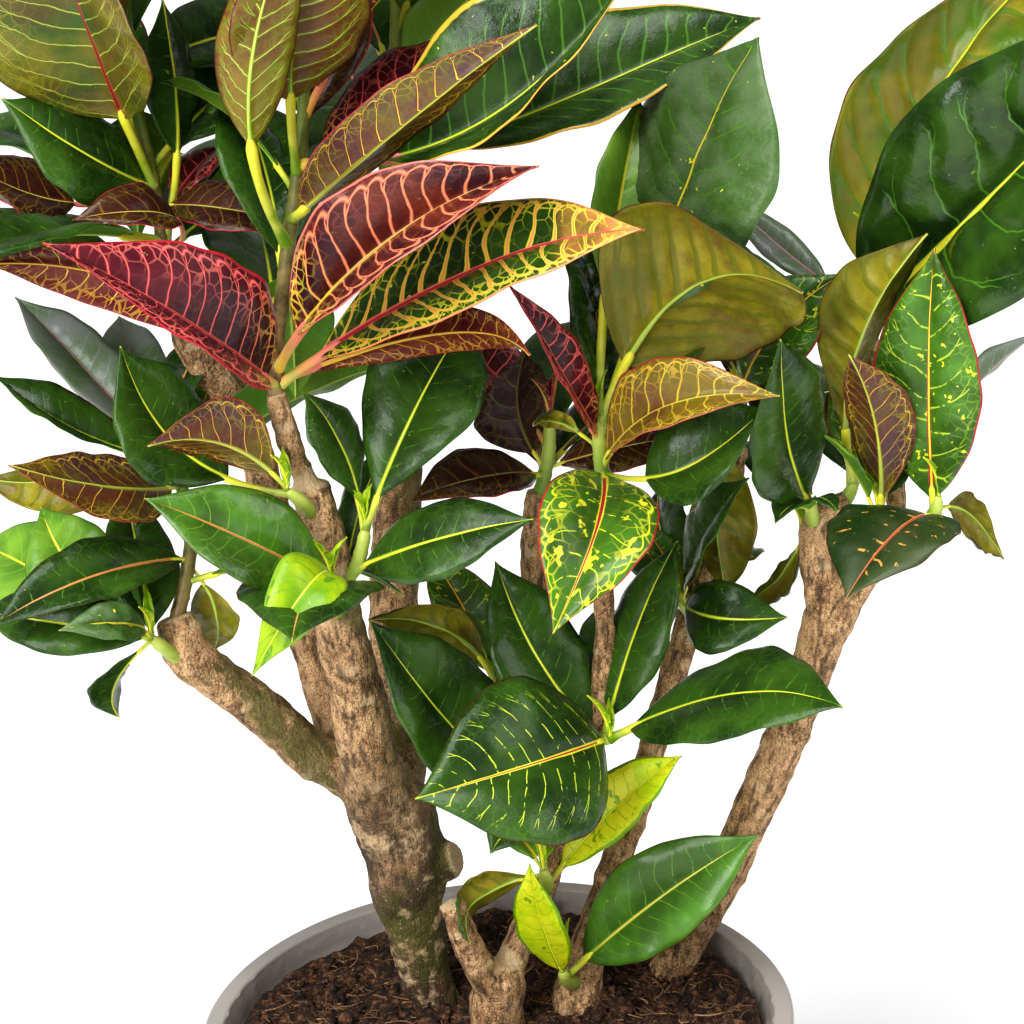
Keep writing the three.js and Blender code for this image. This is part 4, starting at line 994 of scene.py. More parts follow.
def melted(skin, voxel):
    """The parts of a skin melted into one closed mesh, still in millimetres."""
    mesh = bpy.data.meshes.new("wood_draft")
    mesh.from_pydata(np.vstack(skin.points).tolist(), [], [f for part in skin.faces for f in part.tolist()])
    draft = link(bpy.data.objects.new("wood_draft", mesh))
    melt = draft.modifiers.new("melt", "REMESH")
    melt.mode = "VOXEL"
    melt.voxel_size = voxel
    melt.use_smooth_shade = True
    ease = draft.modifiers.new("ease", "SMOOTH")
    ease.factor = 0.5
    ease.iterations = 3
    made = modified(draft)
    bpy.data.objects.remove(draft)
    return made


def add_scars(lift, limbs, limb, run, turn, radius, height, roll):
    """Adds the leaf scars to the lift of each point. Returns how scarred each point is and its share
    of a cut end."""
    scar, cut = np.zeros((2, len(run)))
    for number, length in enumerate(limbs.lengths):
        here = limb == number
        place = 6 * next(roll)
        heading = 6.283 * next(roll)
        while place < length:
            size = SCAR_SIZE + 0.10 * radius[here].mean() + SCAR_SIZE_SPREAD * next(roll)
            ahead = (run - place) / (size * 0.55)
            beside = ((turn - heading + math.pi) % FULL_TURN - math.pi) * radius / size
            reach = np.sqrt(ahead ** 2 + beside ** 2)
            ring = bell((reach - 1) / 0.32)
            pit = bell(reach * 1.3)
            girdle = bell(ahead * 0.9) * bell(beside / 2.6)
            lift += here * height * (0.55 * ring - 0.5 * pit + 0.5 * girdle)
            scar = np.maximum(scar, here * (0.55 * ring + pit))
            place += SCAR_GAP + SCAR_GAP_SPREAD * next(roll)
            heading += math.radians(GOLDEN_TURN) + 0.6 * next(roll)
        cut = np.maximum(cut, here * smooth(run, length - 1.4, length - 0.2))
    return scar, cut


def build_wood(name, plant, settings, finish):
    """One plant's trunk and limbs, with the bark's scars, wrinkles, knots and cut ends."""
    skin = Skin()
    for points in plant.values():
        line = rail(points, DRAFT_STEP)
        add_tube(skin, line[:, :3], line[:, 3] * DRAFT_SHARE, LIMB_SIDES, 0, 0.0)
    mesh = melted(skin, settings.voxel)
    points, normals = read_vectors(mesh, "co"), read_vectors(mesh, "normal")
    limbs = Limbs(plant)
    limb, run, turn, radius = limbs.read(points)
    seed = seed_of(name) % 97
    lift = 0.11 * radius * grain(points, 0.05, seed) + 0.8 * grain(points, 0.16, seed + 5)
    wrinkles = np.column_stack([run * 0.34, np.cos(turn) * 1.4, np.sin(turn) * 1.4])
    lift += 0.024 * radius * grain(wrinkles, 1.0, seed + 9)
    scar, cut = add_scars(lift, limbs, limb, run, turn, radius, settings.scar_height, dice(seed))
    furrows = np.column_stack([run * 0.10, np.cos(turn) * radius * 0.55, np.sin(turn) * radius * 0.55])
    fissures = grain(furrows, 1.0, seed)
    lift += 0.28 * fissures
    points = points + normals * (lift * (1 - cut))[:, None]
    mesh.vertices.foreach_set("co", (points * MM).ravel())
    keep_vectors(mesh, "place", np.column_stack([run, turn * radius, np.full(len(run), seed)]) * MM)
    keep_vectors(mesh, "share", np.column_stack([np.clip(scar, 0, 1), cut, fissures * 0.5 + 0.5]))
    mesh.name = name
    mesh.materials.clear()
    mesh.materials.append(finish)
    mesh.update()
    return mesh


# Pot and soil


def pot_inside(z):
    """Radius of the pot's inside at a height above its underside."""
    share = (z - FLOOR) / (POT_UNDER_RIM - FLOOR)
    return BASE_RADIUS - WALL + (SHOULDER_RADIUS - BASE_RADIUS) * min(share, 1)


def arc_points(radius, away, height, start, steps):
    """Points on a quarter turn in the profile, from a heading in degrees."""
    angles = [math.radians(start + 90 * i / steps) for i in range(steps + 1)]
    return [(away + radius * math.cos(a), height + radius * math.sin(a)) for a in angles]


def pot_profile():
    """The pot's wall in section, from the middle of its underside round to the middle of its floor."""
    recess = 0.9
    flare = SHOULDER_RADIUS - BASE_RADIUS
    outer = [(0, recess), (44, recess), (46, 0), (78, 0), (80, recess), (BASE_RADIUS - 9, recess),
             (BASE_RADIUS - 7, 0)]
    outer += arc_points(2.5, BASE_RADIUS - 2.5, 2.5, -90, 5)
    outer += [(BASE_RADIUS + flare * i / 14, 3 + (POT_UNDER_RIM - 6) * i / 14) for i in range(1, 15)]
    outer += arc_points(2.2, RIM_RADIUS - 2.2, POT_UNDER_RIM + 2.2, -90, 4)
    outer += [(RIM_RADIUS - 0.5, POT_UNDER_RIM + 3.4), (RIM_RADIUS - 0.5, POT_HEIGHT - 5),
              (RIM_RADIUS, POT_HEIGHT - 4)]
    outer += arc_points(1.8, RIM_RADIUS - 1.8, POT_HEIGHT - 1.8, 0, 5)
    inner = arc_points(1.4, THROAT + 1.4, POT_HEIGHT - 1.4, 90, 4)
    inner += [(THROAT - 0.6, POT_HEIGHT - 8), (pot_inside(POT_UNDER_RIM) + 0.8, POT_UNDER_RIM + 4),
              (pot_inside(POT_UNDER_RIM), POT_UNDER_RIM)]
    inner += [(pot_inside(z), z) for z in np.linspace(POT_UNDER_RIM - 12, FLOOR + 2, 12)]
    return outer + inner + [(pot_inside(FLOOR) - 1.5, FLOOR), (0, FLOOR)]


def drain_cutter():
    """Flat bars that stand round the pot's floor and cut its drain slots."""
    bars = bmesh.new()
    size = Matrix.Diagonal((DRAIN_LENGTH * MM, DRAIN_WIDTH * MM, 4 * FLOOR * MM, 1))
    for k in range(DRAIN_SLOTS):
        turned = Matrix.Rotation(FULL_TURN * (k + 0.5) / DRAIN_SLOTS, 4, "Z")
        bmesh.ops.create_cube(bars, size=1, matrix=turned
                              @ Matrix.Translation((DRAIN_RADIUS * MM, 0, 0)) @ size)
    mesh = bpy.data.meshes.new("slots")
    bars.to_mesh(mesh)
    bars.free()
    return link(bpy.data.objects.new("slots", mesh))


def build_pot(settings, finish):
    """The pot, turned from its section, with ribs under the rim's inner edge and slots in its base."""
    profile = np.array(pot_profile())
    steps = settings.turned_steps
    turn = turns(steps)
    radius, height = profile[1:-1, :1], profile[1:-1, 1:]
    throat = (radius < THROAT + 0.2) & (height > POT_UNDER_RIM + 2)
    rib = np.cos(turn * settings.throat_ribs) > 0.86
    radius = radius - throat * rib * THROAT_RIB
    rings = spread(radius * np.cos(turn), radius * np.sin(turn), height)
    skin = Skin()
    skin.add(rings, grid_faces(len(rings), steps, closed=True), 0)
    hub = skin.add([[0, 0, profile[0, 1]], [0, 0, profile[-1, 1]]], np.zeros((0, 3), int), 0)
    ring = np.arange(steps)
    skin.cover(fan(hub, ring)[:, [0, 2, 1]], 0)
    skin.cover(fan(hub + 1, ring + (len(rings) - 1) * steps), 0)
    pot = place_piece("nursery_pot", skin.mesh("nursery_pot", [finish]), "pot_plastic", "pot")
    tool = drain_cutter()
    cut = pot.modifiers.new("slots", "BOOLEAN")
    cut.object = tool
    cut.solver = "EXACT"
    made = modified(pot)
    pot.modifiers.clear()
    pot.data = made
    bpy.data.objects.remove(tool)
    made.attributes.remove(made.attributes["sharp_face"])
    made.polygons.foreach_set("use_smooth", np.ones(len(made.polygons), bool))
    made.set_sharp_from_angle(angle=math.radians(34))


def soil_height(x, y, settings):
    """Height of the peat's surface above its level, in swells, lumps and crumbs."""
    points = np.column_stack([x, y, np.zeros_like(x)])
    swell = 3.0 * grain(points, 0.022, 3) + 2.8 * grain(points, 0.05, 7)
    lumps = settings.lump_height * (0.55 - cells(points, 0.16)) * 1.5
    return swell + lumps + 1.8 * (0.5 - cells(points, 0.42)) + 0.6 * grain(points, 0.9, 9)


def soil_spot(rng, radius, share, above, settings):
    """A random place over the peat, out to a share of a radius and a little above its surface."""
    away = radius * math.sqrt(rng.random()) * share
    heading = rng.random() * FULL_TURN
    x, y = away * math.cos(heading), away * math.sin(heading)
    return np.array([x, y, SOIL_TOP + above + soil_height(np.array([x]), np.array([y]), settings)[0]])


def round_ball(levels):
    """The points and faces of a ball, finer with each level."""
    shape = bmesh.new()
    bmesh.ops.create_icosphere(shape, subdivisions=levels, radius=1)
    points = np.array([v.co for v in shape.verts])
    faces = np.array([[v.index for v in f.verts] for f in shape.faces])
    shape.free()
    return points, faces


def add_clods(skin, settings, radius):
    """Loose lumps of peat over the surface: a few large ones, finely shaped, and many small ones."""
    balls = [round_ball(3), round_ball(1)]
    rng = np.random.default_rng(CLOD_SEED)
    for number in range(settings.clods):
        small = number >= settings.large_clods
        ball, faces = balls[small]
        spot = soil_spot(rng, radius, 0.985, 0, settings)
        least, more = SMALL_CLOD if small else LARGE_CLOD
        size = least + more * rng.random() ** 2
        stretch = size * (0.5 + 0.8 * rng.random(3))
        seed = rng.random() * 50
        lumpy = 1 + 0.5 * grain(ball, 1.9, seed) + 0.45 * grain(ball, 5.0, seed)
        spin = Matrix.Rotation(rng.random() * 6.28, 3, Vector(rng.normal(size=3)))
        points = (ball * lumpy[:, None] * stretch) @ np.array(spin).T
        chance = np.full((len(points), 3), rng.random())
        skin.add(points + (spot + [0, 0, size * 0.1]), faces, 0, points * MM, chance)


def add_fibres(skin, settings, radius):
    """Thin bent fibres and slivers of wood lying on the peat."""
    rng = np.random.default_rng(FIBRE_SEED)
    for _ in range(settings.fibres):
        spot = soil_spot(rng, radius, 0.96, 1.2, settings)
        way = rng.random() * FULL_TURN
        length = FIBRE_LENGTH + FIBRE_LENGTH_SPREAD * rng.random() ** 4
        s = np.linspace(-0.5, 0.5, 5)
        bend = length * 0.25 * rng.normal()
        lift = length * 0.35 * rng.random() ** 2 * (s + 0.5)
        flat = np.column_stack([s * length, bend * (s * s * 4 - 0.5), lift])
        centres = flat @ np.array(Matrix.Rotation(way, 3, "Z")).T + spot
        if np.hypot(centres[:, 0], centres[:, 1]).max() < radius - 1:
            add_tube(skin, centres, 0.13 + 0.36 * rng.random() ** 3, 3, 1, rng.random())


def build_soil(settings, finishes):
    """Peat up to just under the rim, closed below, with clods and fibres on it."""
    radius = pot_inside(SOIL_TOP) - SOIL_GAP
    rings = settings.soil_rings
    steps = 3 * rings
    reach = radius * np.linspace(0, 1, rings + 1)[1:, None] ** 0.8
    turn = turns(steps)[None, :]
    x, y = reach * np.cos(turn), reach * np.sin(turn)
    height = SOIL_TOP + soil_height(x.ravel(), y.ravel(), settings).reshape(x.shape)
    height[-1] = SOIL_TOP - 3
    deep = pot_inside(FLOOR + 1) - 0.6
    bottom = spread(deep * np.cos(turn), deep * np.sin(turn), FLOOR + 0.6)
    points = np.concatenate([spread(x, y, height), bottom])
    even = np.full((1, 3), 0.5)
    skin = Skin()
    skin.add(points, grid_faces(rings + 1, steps, closed=True), 0, points * MM, np.full_like(points, 0.5))
    ring = np.arange(steps)
    hub = skin.add([[0, 0, height[0].mean()]], np.zeros((0, 3), int), 0, np.zeros((1, 3)), even)
    skin.cover(fan(hub, ring), 0)
    skin.cover((rings * steps + ring)[None, ::-1], 0)
    add_clods(skin, settings, radius - 2)
    add_fibres(skin, settings, radius - 2)
    place_piece("peat_soil", skin.mesh("peat_soil", finishes), "soil", "soil")


# Materials


class Wire:
    """A value on its way between nodes. Arithmetic on it adds the math nodes that do the sum."""

    def __init__(self, tree, socket):
        self.tree, self.socket = tree, socket

    def __add__(self, other):
        return self.tree.math("ADD", self, other)

    def __radd__(self, other):
        return self.tree.math("ADD", other, self)

    def __sub__(self, other):
        return self.tree.math("SUBTRACT", self, other)

    def __rsub__(self, other):
        return self.tree.math("SUBTRACT", other, self)

    def __mul__(self, other):
        return self.tree.math("MULTIPLY", self, other)

    def __abs__(self):
        return self.tree.math("ABSOLUTE", self)


class Tree:
    """Short ways to add nodes to one node tree and join them."""

    def __init__(self, tree):
        self.tree = tree

    def add(self, kind, inputs=None, **settings):
        """A node's outputs, by name or number. inputs gives a value or a wire for each named socket."""
        node = self.tree.nodes.new(kind)
        for name, value in settings.items():
            setattr(node, name, value)
        for name, value in (inputs or {}).items():
            self.feed(node.inputs[name], value)
        return Outputs(self, node)

    def feed(self, socket, value):
        if isinstance(value, Wire):
            self.tree.links.new(value.socket, socket)
        elif socket.type == "RGBA":
            socket.default_value = (*value[:3], 1)
        else:
            socket.default_value = value

    def math(self, operation, *values, clamp=False):
        return self.add("ShaderNodeMath", dict(enumerate(values)), operation=operation, use_clamp=clamp)[0]

    def scaled(self, vector, *factors):
        """A vector with each of its parts multiplied."""
        return self.add("ShaderNodeVectorMath", {0: vector, 1: factors}, operation="MULTIPLY")[0]

    def mix(self, share, first, second):
        return self.add("ShaderNodeMix", {0: share, 6: first, 7: second}, data_type="RGBA")[2]

    def span(self, value, low, high, to_low=0.0, to_high=1.0):
        """Smooth step of a value from low to high. The ends may be the other way round."""
        given = dict(enumerate((value, low, high, to_low, to_high)))
        return self.add("ShaderNodeMapRange", given, interpolation_type="SMOOTHSTEP")[0]

    def tint(self, colour, tone, value, low, high, amount=1.0):
        """The colour, passing into a tone as a value goes from low to high."""
        return self.mix(self.span(value, low, high, 0.0, amount), colour, tone)

    def grain(self, place, scale, detail=3.0, roughness=0.55):
        inputs = {"Vector": place, "Scale": scale, "Detail": detail, "Roughness": roughness}
        return self.add("ShaderNodeTexNoise", inputs)["Fac"]

    def cells(self, place, scale):
        """How far a place is from the edge of its cell."""
        inputs = {"Vector": place, "Scale": scale}
        return self.add("ShaderNodeTexVoronoi", inputs, feature="DISTANCE_TO_EDGE")["Distance"]

    def kept(self, name):
        """A vector that the mesh holds for each point."""
        return self.add("ShaderNodeAttribute", attribute_name=name)["Vector"]

    def split(self, vector):
        parts = self.add("ShaderNodeSeparateXYZ", {"Vector": vector})
        return parts[0], parts[1], parts[2]


class Outputs:
    """What a node puts out, as wires."""

    def __init__(self, tree, node):
        self.tree, self.node = tree, node

    def __getitem__(self, name):
        return Wire(self.tree, self.node.outputs[name])


class Group(Tree):
    """A new node group with named sockets. A number stands for a value's default."""

    def __init__(self, name, inputs, outputs):
        group = bpy.data.node_groups.new(name, "ShaderNodeTree")
        for way, sockets in (("INPUT", inputs), ("OUTPUT", outputs)):
            for label, kind in sockets.items():
                named = isinstance(kind, str)
                socket = group.interface.new_socket(label, in_out=way,
                                                    socket_type="NodeSocket" + (kind if named else "Float"))
                if not named:
                    socket.default_value = kind
        super().__init__(group)
        self.given = self.add("NodeGroupInput")
        self.result = group.nodes.new("NodeGroupOutput").inputs

    def put(self, name, value):
        self.feed(self.result[name], value)


def vein_group():
    """Masks of a leaf's veins, from where a point lies on the blade."""
    tree = Group("Leaf veins", {
        "Place": "Vector", "Share": "Vector", "Midrib Width": 0.8, "Midrib Halo": 1.0, "Side Width": 0.04,
        "Side Halo": 0.08, "Side Reach": 0.86, "Broken": 0.0, "Loop": 0.0, "Net Size": 5.0,
        "Net Width": 0.035,
    }, dict.fromkeys(("Midrib", "Midrib Halo", "Side", "Side Halo", "Net"), "Float"))
    given = tree.given
    place = given["Place"]
    t, v, run = tree.split(given["Share"])
    waver = tree.grain(place, 70, 2)
    uneven = tree.math("MULTIPLY_ADD", waver, 1.6, 0.2)

    off = abs(tree.split(place)[1] * 1000)
    taper = 1.05 - t * 0.85
    core = given["Midrib Width"] * taper * 0.5
    halo = core + given["Midrib Halo"] * taper * uneven
    tree.put("Midrib", tree.span(off, core * 1.15, core * 0.8))
    tree.put("Midrib Halo", tree.span(off, halo * 1.1, halo * 0.7))

    side = abs(v)
    path = run + (waver - 0.5) * 0.34
    apart = abs(tree.math("FRACT", path + 0.5) - 0.5)
    apart = abs(apart - tree.span(side, 0.55, 0.95) * 0.2)
    thin = (1.15 - side * 0.75) * tree.math("MULTIPLY_ADD", uneven, 0.5, 0.5)
    width = given["Side Width"] * thin
    outer = width + given["Side Halo"] * thin
    reach = given["Side Reach"]
    broken = given["Broken"]
    shown = tree.span(side, reach, reach - 0.14) * tree.span(
        tree.grain(place, 210, 2), broken - 0.06, broken + 0.03)
    bow = abs(tree.math("SINE", path * math.pi)) * 0.09
    edge = abs(side - (bow + 0.79))
    looped = tree.math("GREATER_THAN", given["Loop"], 0.001)
    loop = tree.span(edge, 0.022, 0.008) * looped
    loop_halo = tree.span(edge, given["Loop"], 0.01) * looped
    vein = tree.span(apart, width * 1.2, width * 0.7) * shown
    vein_halo = tree.span(apart, outer * 1.1, (width + outer) * 0.5) * shown
    tree.put("Side", tree.math("MAXIMUM", vein, loop * 0.8))
    tree.put("Side Halo", tree.math("MAXIMUM", vein_halo, loop_halo))

    blur = tree.add("ShaderNodeTexNoise", {"Vector": place, "Scale": 160.0, "Detail": 1.0})["Color"]
    shift = tree.add("ShaderNodeVectorMath", {0: blur, "Scale": 0.0022}, operation="SCALE")[0]
    shifted = tree.add("ShaderNodeVectorMath", {0: place, 1: shift}, operation="ADD")[0]
    wide = tree.cells(shifted, tree.math("DIVIDE", 1000, given["Net Size"]))
    strand = given["Net Width"] * tree.math("MULTIPLY_ADD", waver, 2.4, -0.1)
    tree.put("Net", tree.span(wide, strand * 2.0, strand * 0.5) * tree.span(side, 0.25, 0.72, 0.1, 1.0))
    return tree.tree


def mottle_group():
    """Uneven colour: one colour passes into another in soft patches with a fine speckle."""
    tree = Group("Mottle", {"Place": "Vector", "First": "Color", "Second": "Color", "Patch": 45.0,
                            "Speckle": 0.12}, {"Color": "Color", "Grain": "Float"})
    given = tree.given
    patches = tree.grain(given["Place"], given["Patch"], 3)
    colour = tree.tint(given["First"], given["Second"], patches, 0.34, 0.66)
    fine = tree.grain(given["Place"], 900, 2, 0.7)
    value = 1 + (fine - 0.5) * given["Speckle"] * 2
    tree.put("Color", tree.add("ShaderNodeHueSaturation", {"Color": colour, "Value": value})[0])
    tree.put("Grain", fine)
    return tree.tree


def shared_group(name):
    """A node group that many materials use, made once."""
    return bpy.data.node_groups.get(name) or {"Leaf veins": vein_group, "Mottle": mottle_group}[name]()


class Finish(Tree):
    """One new material with its shader, and the places on the mesh that its effects follow."""

    def __init__(self, name):
        self.material = bpy.data.materials.new(name)
        self.material.use_nodes = True
        super().__init__(self.material.node_tree)
        self.tree.nodes.clear()
        self.shader = self.tree.nodes.new("ShaderNodeBsdfPrincipled")
        output = self.tree.nodes.new("ShaderNodeOutputMaterial")
        self.tree.links.new(self.shader.outputs[0], output.inputs["Surface"])

    def solid(self):
        return self.add("ShaderNodeTexCoord")["Object"]

    def veins(self, **inputs):
        named = {name.replace("_", " ").title(): value for name, value in inputs.items()}
        return self.add("ShaderNodeGroup", named, node_tree=shared_group("Leaf veins"))

    def mottle(self, place, first, second, patch, speckle):
        inputs = {"Place": place, "First": first, "Second": second, "Patch": patch, "Speckle": speckle}
        return self.add("ShaderNodeGroup", inputs, node_tree=shared_group("Mottle"))

    def done(self, colour, rough, height=None, strength=1.0, distance=0.0012):
        """The material, with its colour and roughness, and bumps of a height and distance in metres."""
        self.feed(self.shader.inputs["Base Color"], colour)
        self.feed(self.shader.inputs["Roughness"], rough)
        if height:
            bump = self.add("ShaderNodeBump", {"Height": height, "Strength": strength, "Distance": distance})
            self.feed(self.shader.inputs["Normal"], bump[0])
        return self.material


def leaf_material(name, look, palette, settings):
    """One face of a leaf: waxy tissue crossed by its midrib, side veins and fine net."""
    look = PLAIN_LOOK | look
    tree = Finish("blade_" + name)
    place, share = tree.kept("place"), tree.kept("share")
    rib_core, rib_halo, rib_width, rib_spread = look["rib"]
    side_core, side_halo, side_width, side_spread, side_reach = look["side"]
    net_tint, net_amount, net_size = look["net"]
    veins = tree.veins(
        place=place, share=share, midrib_width=rib_width * settings.vein_width,
        midrib_halo=rib_spread * settings.vein_width, side_width=side_width, side_halo=side_spread,
        side_reach=side_reach, broken=look["dash"], loop=look["loop"], net_size=net_size,
        net_width=look["web"])
    colour = tree.mottle(place, *(palette[c] for c in look["tissue"]), 38.0, 0.10)["Color"]
    t, v, _ = tree.split(share)
    side = abs(v)
    if "flush" in look:
        tone, amount = look["flush"]
        colour = tree.tint(colour, palette[tone], tree.grain(place, 30, 6, 0.72), 0.42, 0.62, amount)
    if "blush" in look:
        tone, amount = look["blush"]
        cloud = t + tree.grain(place, 60, 2) * 0.3
        colour = tree.tint(colour, palette[tone], cloud, 0.88, 1.16, amount)
    colour = tree.mix(veins["Net"] * (net_amount * settings.net_strength), colour, palette[net_tint])
    if "spots" in look:
        tone, level, size = look["spots"]
        spots = tree.grain(place, 1000 / size, 2, 0.6)
        colour = tree.tint(colour, palette[tone], spots, level, level + 0.03, 0.85)
    colour = tree.mix(veins["Side Halo"] * 0.8, colour, palette[side_halo])
    colour = tree.mix(veins["Side"], colour, palette[side_core])
    if "foot" in look:
        tone, amount = look["foot"]
        low = tree.span(t, 0.34, 0.04) * tree.math("MAXIMUM", veins["Side"], veins["Net"])
        colour = tree.mix(low * amount, colour, palette[tone])
    if "margin" in look:
        tone, width = look["margin"]
        inner = 1 - width - tree.grain(place, 240, 2) * width
        colour = tree.tint(colour, palette[tone], side, inner, inner + 0.6 * width, 0.92)
    colour = tree.mix(veins["Midrib Halo"] * 0.9, colour, palette[rib_halo])
    colour = tree.mix(veins["Midrib"], colour, palette[rib_core])
    pebble = tree.grain(place, 420, 2, 0.6)
    colour = tree.tint(colour, palette["stalk"], pebble, 0.72, 0.76, 0.45)
    rough = look.get("rough", settings.leaf_roughness)
    smudge = tree.span(tree.grain(place, 55, 3), 0.3, 0.75, rough - 0.05, rough + 0.13)
    wax = {"Coat Weight": look.get("coat", settings.leaf_coat), "Coat Roughness": 0.16,
           "Specular IOR Level": 0.28}
    for socket, value in wax.items():
        tree.feed(tree.shader.inputs[socket], value)
    return tree.done(colour, smudge, pebble, 0.4, look["wrinkle"])


def stalk_material(name, first, second, tip):
    """Leaf stalks and young stems: smooth and green, flushed at one end."""
    tree = Finish(name)
    place = tree.kept("place")
    skin = tree.mottle(place, first, second, 90.0, 0.14)
    along = tree.split(tree.kept("share"))[0]
    flush = along + tree.grain(place, 130, 2) * 0.5
    streak = tree.grain(tree.scaled(place, 60, 700, 1), 1, 2)
    return tree.done(tree.tint(skin["Color"], tip, flush, 0.2, 1.2),
                     tree.span(skin["Grain"], 0.3, 0.7, 0.34, 0.5), streak, 0.4, 0.0002)


def bark_material(name, settings, mossy):
    """Bark along a limb: grey-tan with fine cracks, pale scars, pale cut ends and green film. Low on the
    mossy trunk it darkens in patches, partly its own dark bark and partly painted shade under the crown.
    """
    tree = Finish(name)
    solid = tree.solid()
    scar, cut, crack = tree.split(tree.kept("share"))
    dark, light, gap, pale = settings.bark_dark, settings.bark_light, settings.bark_crack, settings.scar
    colour = tree.mottle(solid, light, dark, 130.0, 0.7)["Color"]
    stripes = tree.grain(tree.scaled(solid, 1, 1, 0.4), 420, 6, 0.8)
    fine = tree.grain(solid, 1100, 3, 0.75)
    band = tree.grain(tree.scaled(tree.kept("place"), 420, 24, 24), 1, 3, 0.6)
    for tone, mask, low, high, amount in (
            (gap, stripes, 0.48, 0.6, 0.78), (light, tree.grain(solid, 40, 4, 0.65), 0.48, 0.62, 0.6),
            (dark, band, 0.6, 0.68, 0.5), (gap, fine, 0.47, 0.36, 0.8), (pale, fine, 0.56, 0.66, 0.7),
            (pale, scar, 0.25, 0.8, 0.6), (gap, crack, 0.48, 0.25, 0.7)):
        colour = tree.tint(colour, tone, mask, low, high, amount)
    if mossy:
        # Low on the mossy trunk the bark darkens in patches towards the crack colour: partly its own dark
        # bark, partly painted shade under the crown
        old = tree.span(tree.split(solid)[2], 0.40, 0.30)
        dark_bark_and_shade = tree.span(tree.grain(solid, 22, 3, 0.6), 0.34, 0.54, 0.35, 0.95)
        colour = tree.mix(old * dark_bark_and_shade, colour, gap)
        film = tree.grain(solid, 26, 4, 0.65) - tree.math("MULTIPLY_ADD", old, -0.14, 0.14)
        shade = film + tree.split(tree.add("ShaderNodeNewGeometry")["Normal"])[0] * 0.10
        colour = tree.tint(colour, settings.moss, shade, 0.42, 0.56, 0.75)
        worn = tree.span(tree.grain(solid, 60, 4, 0.7), 0.52, 0.66, 0.0, 0.75)
        colour = tree.mix(worn * old, colour, pale)
        flakes = tree.span(tree.grain(solid, 330, 4, 0.8), 0.63, 0.67, 0.0, 0.85)
        colour = tree.mix(flakes * old, colour, settings.lichen)
    rings = tree.grain(tree.scaled(solid, 1, 1, 0.2), 500, 3)
    colour = tree.mix(cut, colour, tree.mix(rings, settings.cut_wood, pale))
    pits = tree.span(tree.cells(tree.scaled(solid, 1, 1, 0.5), 380), 0.0, 0.12)
    height = stripes + tree.grain(solid, 900, 3, 0.7) * 0.5 + pits * 0.35
    return tree.done(colour, tree.span(stripes, 0.3, 0.7, 0.72, 0.92), height)


def peat_material(settings):
    """Damp peat: nearly black to rust brown, each crumb its own tone, with pale flecks and dark patches that
    are partly its own colour and partly painted shade between crumbs.
    """
    tree = Finish("peat")
    solid = tree.solid()
    colour = tree.mottle(solid, settings.peat_dark, settings.peat_light, 190.0, 0.8)["Color"]
    chance = tree.split(tree.kept("share"))[0]
    flecks = tree.grain(solid, 620, 2, 0.6)
    # Dark patches: partly the damp peat's own near-black, partly painted shade in the gaps between crumbs
    dark_peat_and_shade = tree.span(tree.grain(solid, 300, 4, 0.75), 0.56, 0.42, 0.0, 0.85)
    colour = tree.tint(colour, settings.peat_light, chance, 0.5, 1.0, 0.7)
    colour = tree.tint(colour, settings.fleck, flecks, 0.66, 0.72, 0.7)
    colour = tree.mix(dark_peat_and_shade, colour, settings.peat_dark)
    height = dark_peat_and_shade + tree.grain(solid, 800, 4, 0.75)
    return tree.done(colour, tree.span(flecks, 0.3, 0.7, 0.82, 0.98), height)


def fibre_material(settings):
    """Fibres in the peat, pale with darker patches."""
    tree = Finish("peat_fibre")
    skin = tree.mottle(tree.kept("place"), settings.fleck, settings.peat_light, 60.0, 0.5)
    rough = tree.span(skin["Grain"], 0.3, 0.7, 0.75, 0.95)
    return tree.done(skin["Color"], rough, skin["Grain"], 0.6, 0.0004)


def plastic_material(settings):
    """Warm grey plastic with a fine moulded skin, light scuffs and peat dust inside the rim."""
    tree = Finish("pot_plastic")
    solid = tree.solid()
    colour = tree.mottle(solid, settings.plastic, settings.plastic_shade, 14.0, 0.05)["Color"]
    x, y, z = tree.split(solid)
    radius = tree.math("SQRT", x * x + y * y)
    inside = tree.span(radius, (THROAT + 1) * MM, (THROAT - 3) * MM) * tree.span(
        z, (SOIL_TOP - 4) * MM, (SOIL_TOP + 2) * MM)
    low = tree.span(z, (POT_HEIGHT - 1) * MM, (SOIL_TOP - 2) * MM)
    dirt = inside * tree.span(tree.grain(solid, 150, 5, 0.75) + low * 0.3, 0.5, 0.72)
    colour = tree.mix(dirt * 0.85, colour, settings.plastic_dust)
    grit = tree.span(tree.grain(solid, 420, 3, 0.7), 0.68, 0.74)
    top = tree.span(z, (POT_HEIGHT - 3) * MM, (POT_HEIGHT - 1) * MM) * grit
    colour = tree.mix(top * 0.6, colour, settings.plastic_dust)
    scuffs = tree.span(tree.grain(tree.scaled(solid, 1, 1, 6), 60, 4, 0.7), 0.35, 0.7, 0.36, 0.52)
    rough = tree.math("ADD", scuffs, dirt * 0.35, clamp=True)
    return tree.done(colour, rough, tree.grain(solid, 1500, 2, 0.6) + dirt * 2.0, 0.35, 0.0002)


def floor_material(settings):
    """A pale floor with the faintest clouds."""
    tree = Finish("studio_floor")
    cloud = tree.grain(tree.solid(), 3, 2)
    paler = tuple(min(c * 1.02, 1) for c in settings.floor_colour)
    return tree.done(tree.mix(cloud, settings.floor_colour, paler), tree.span(cloud, 0.3, 0.7, 0.75, 0.85))


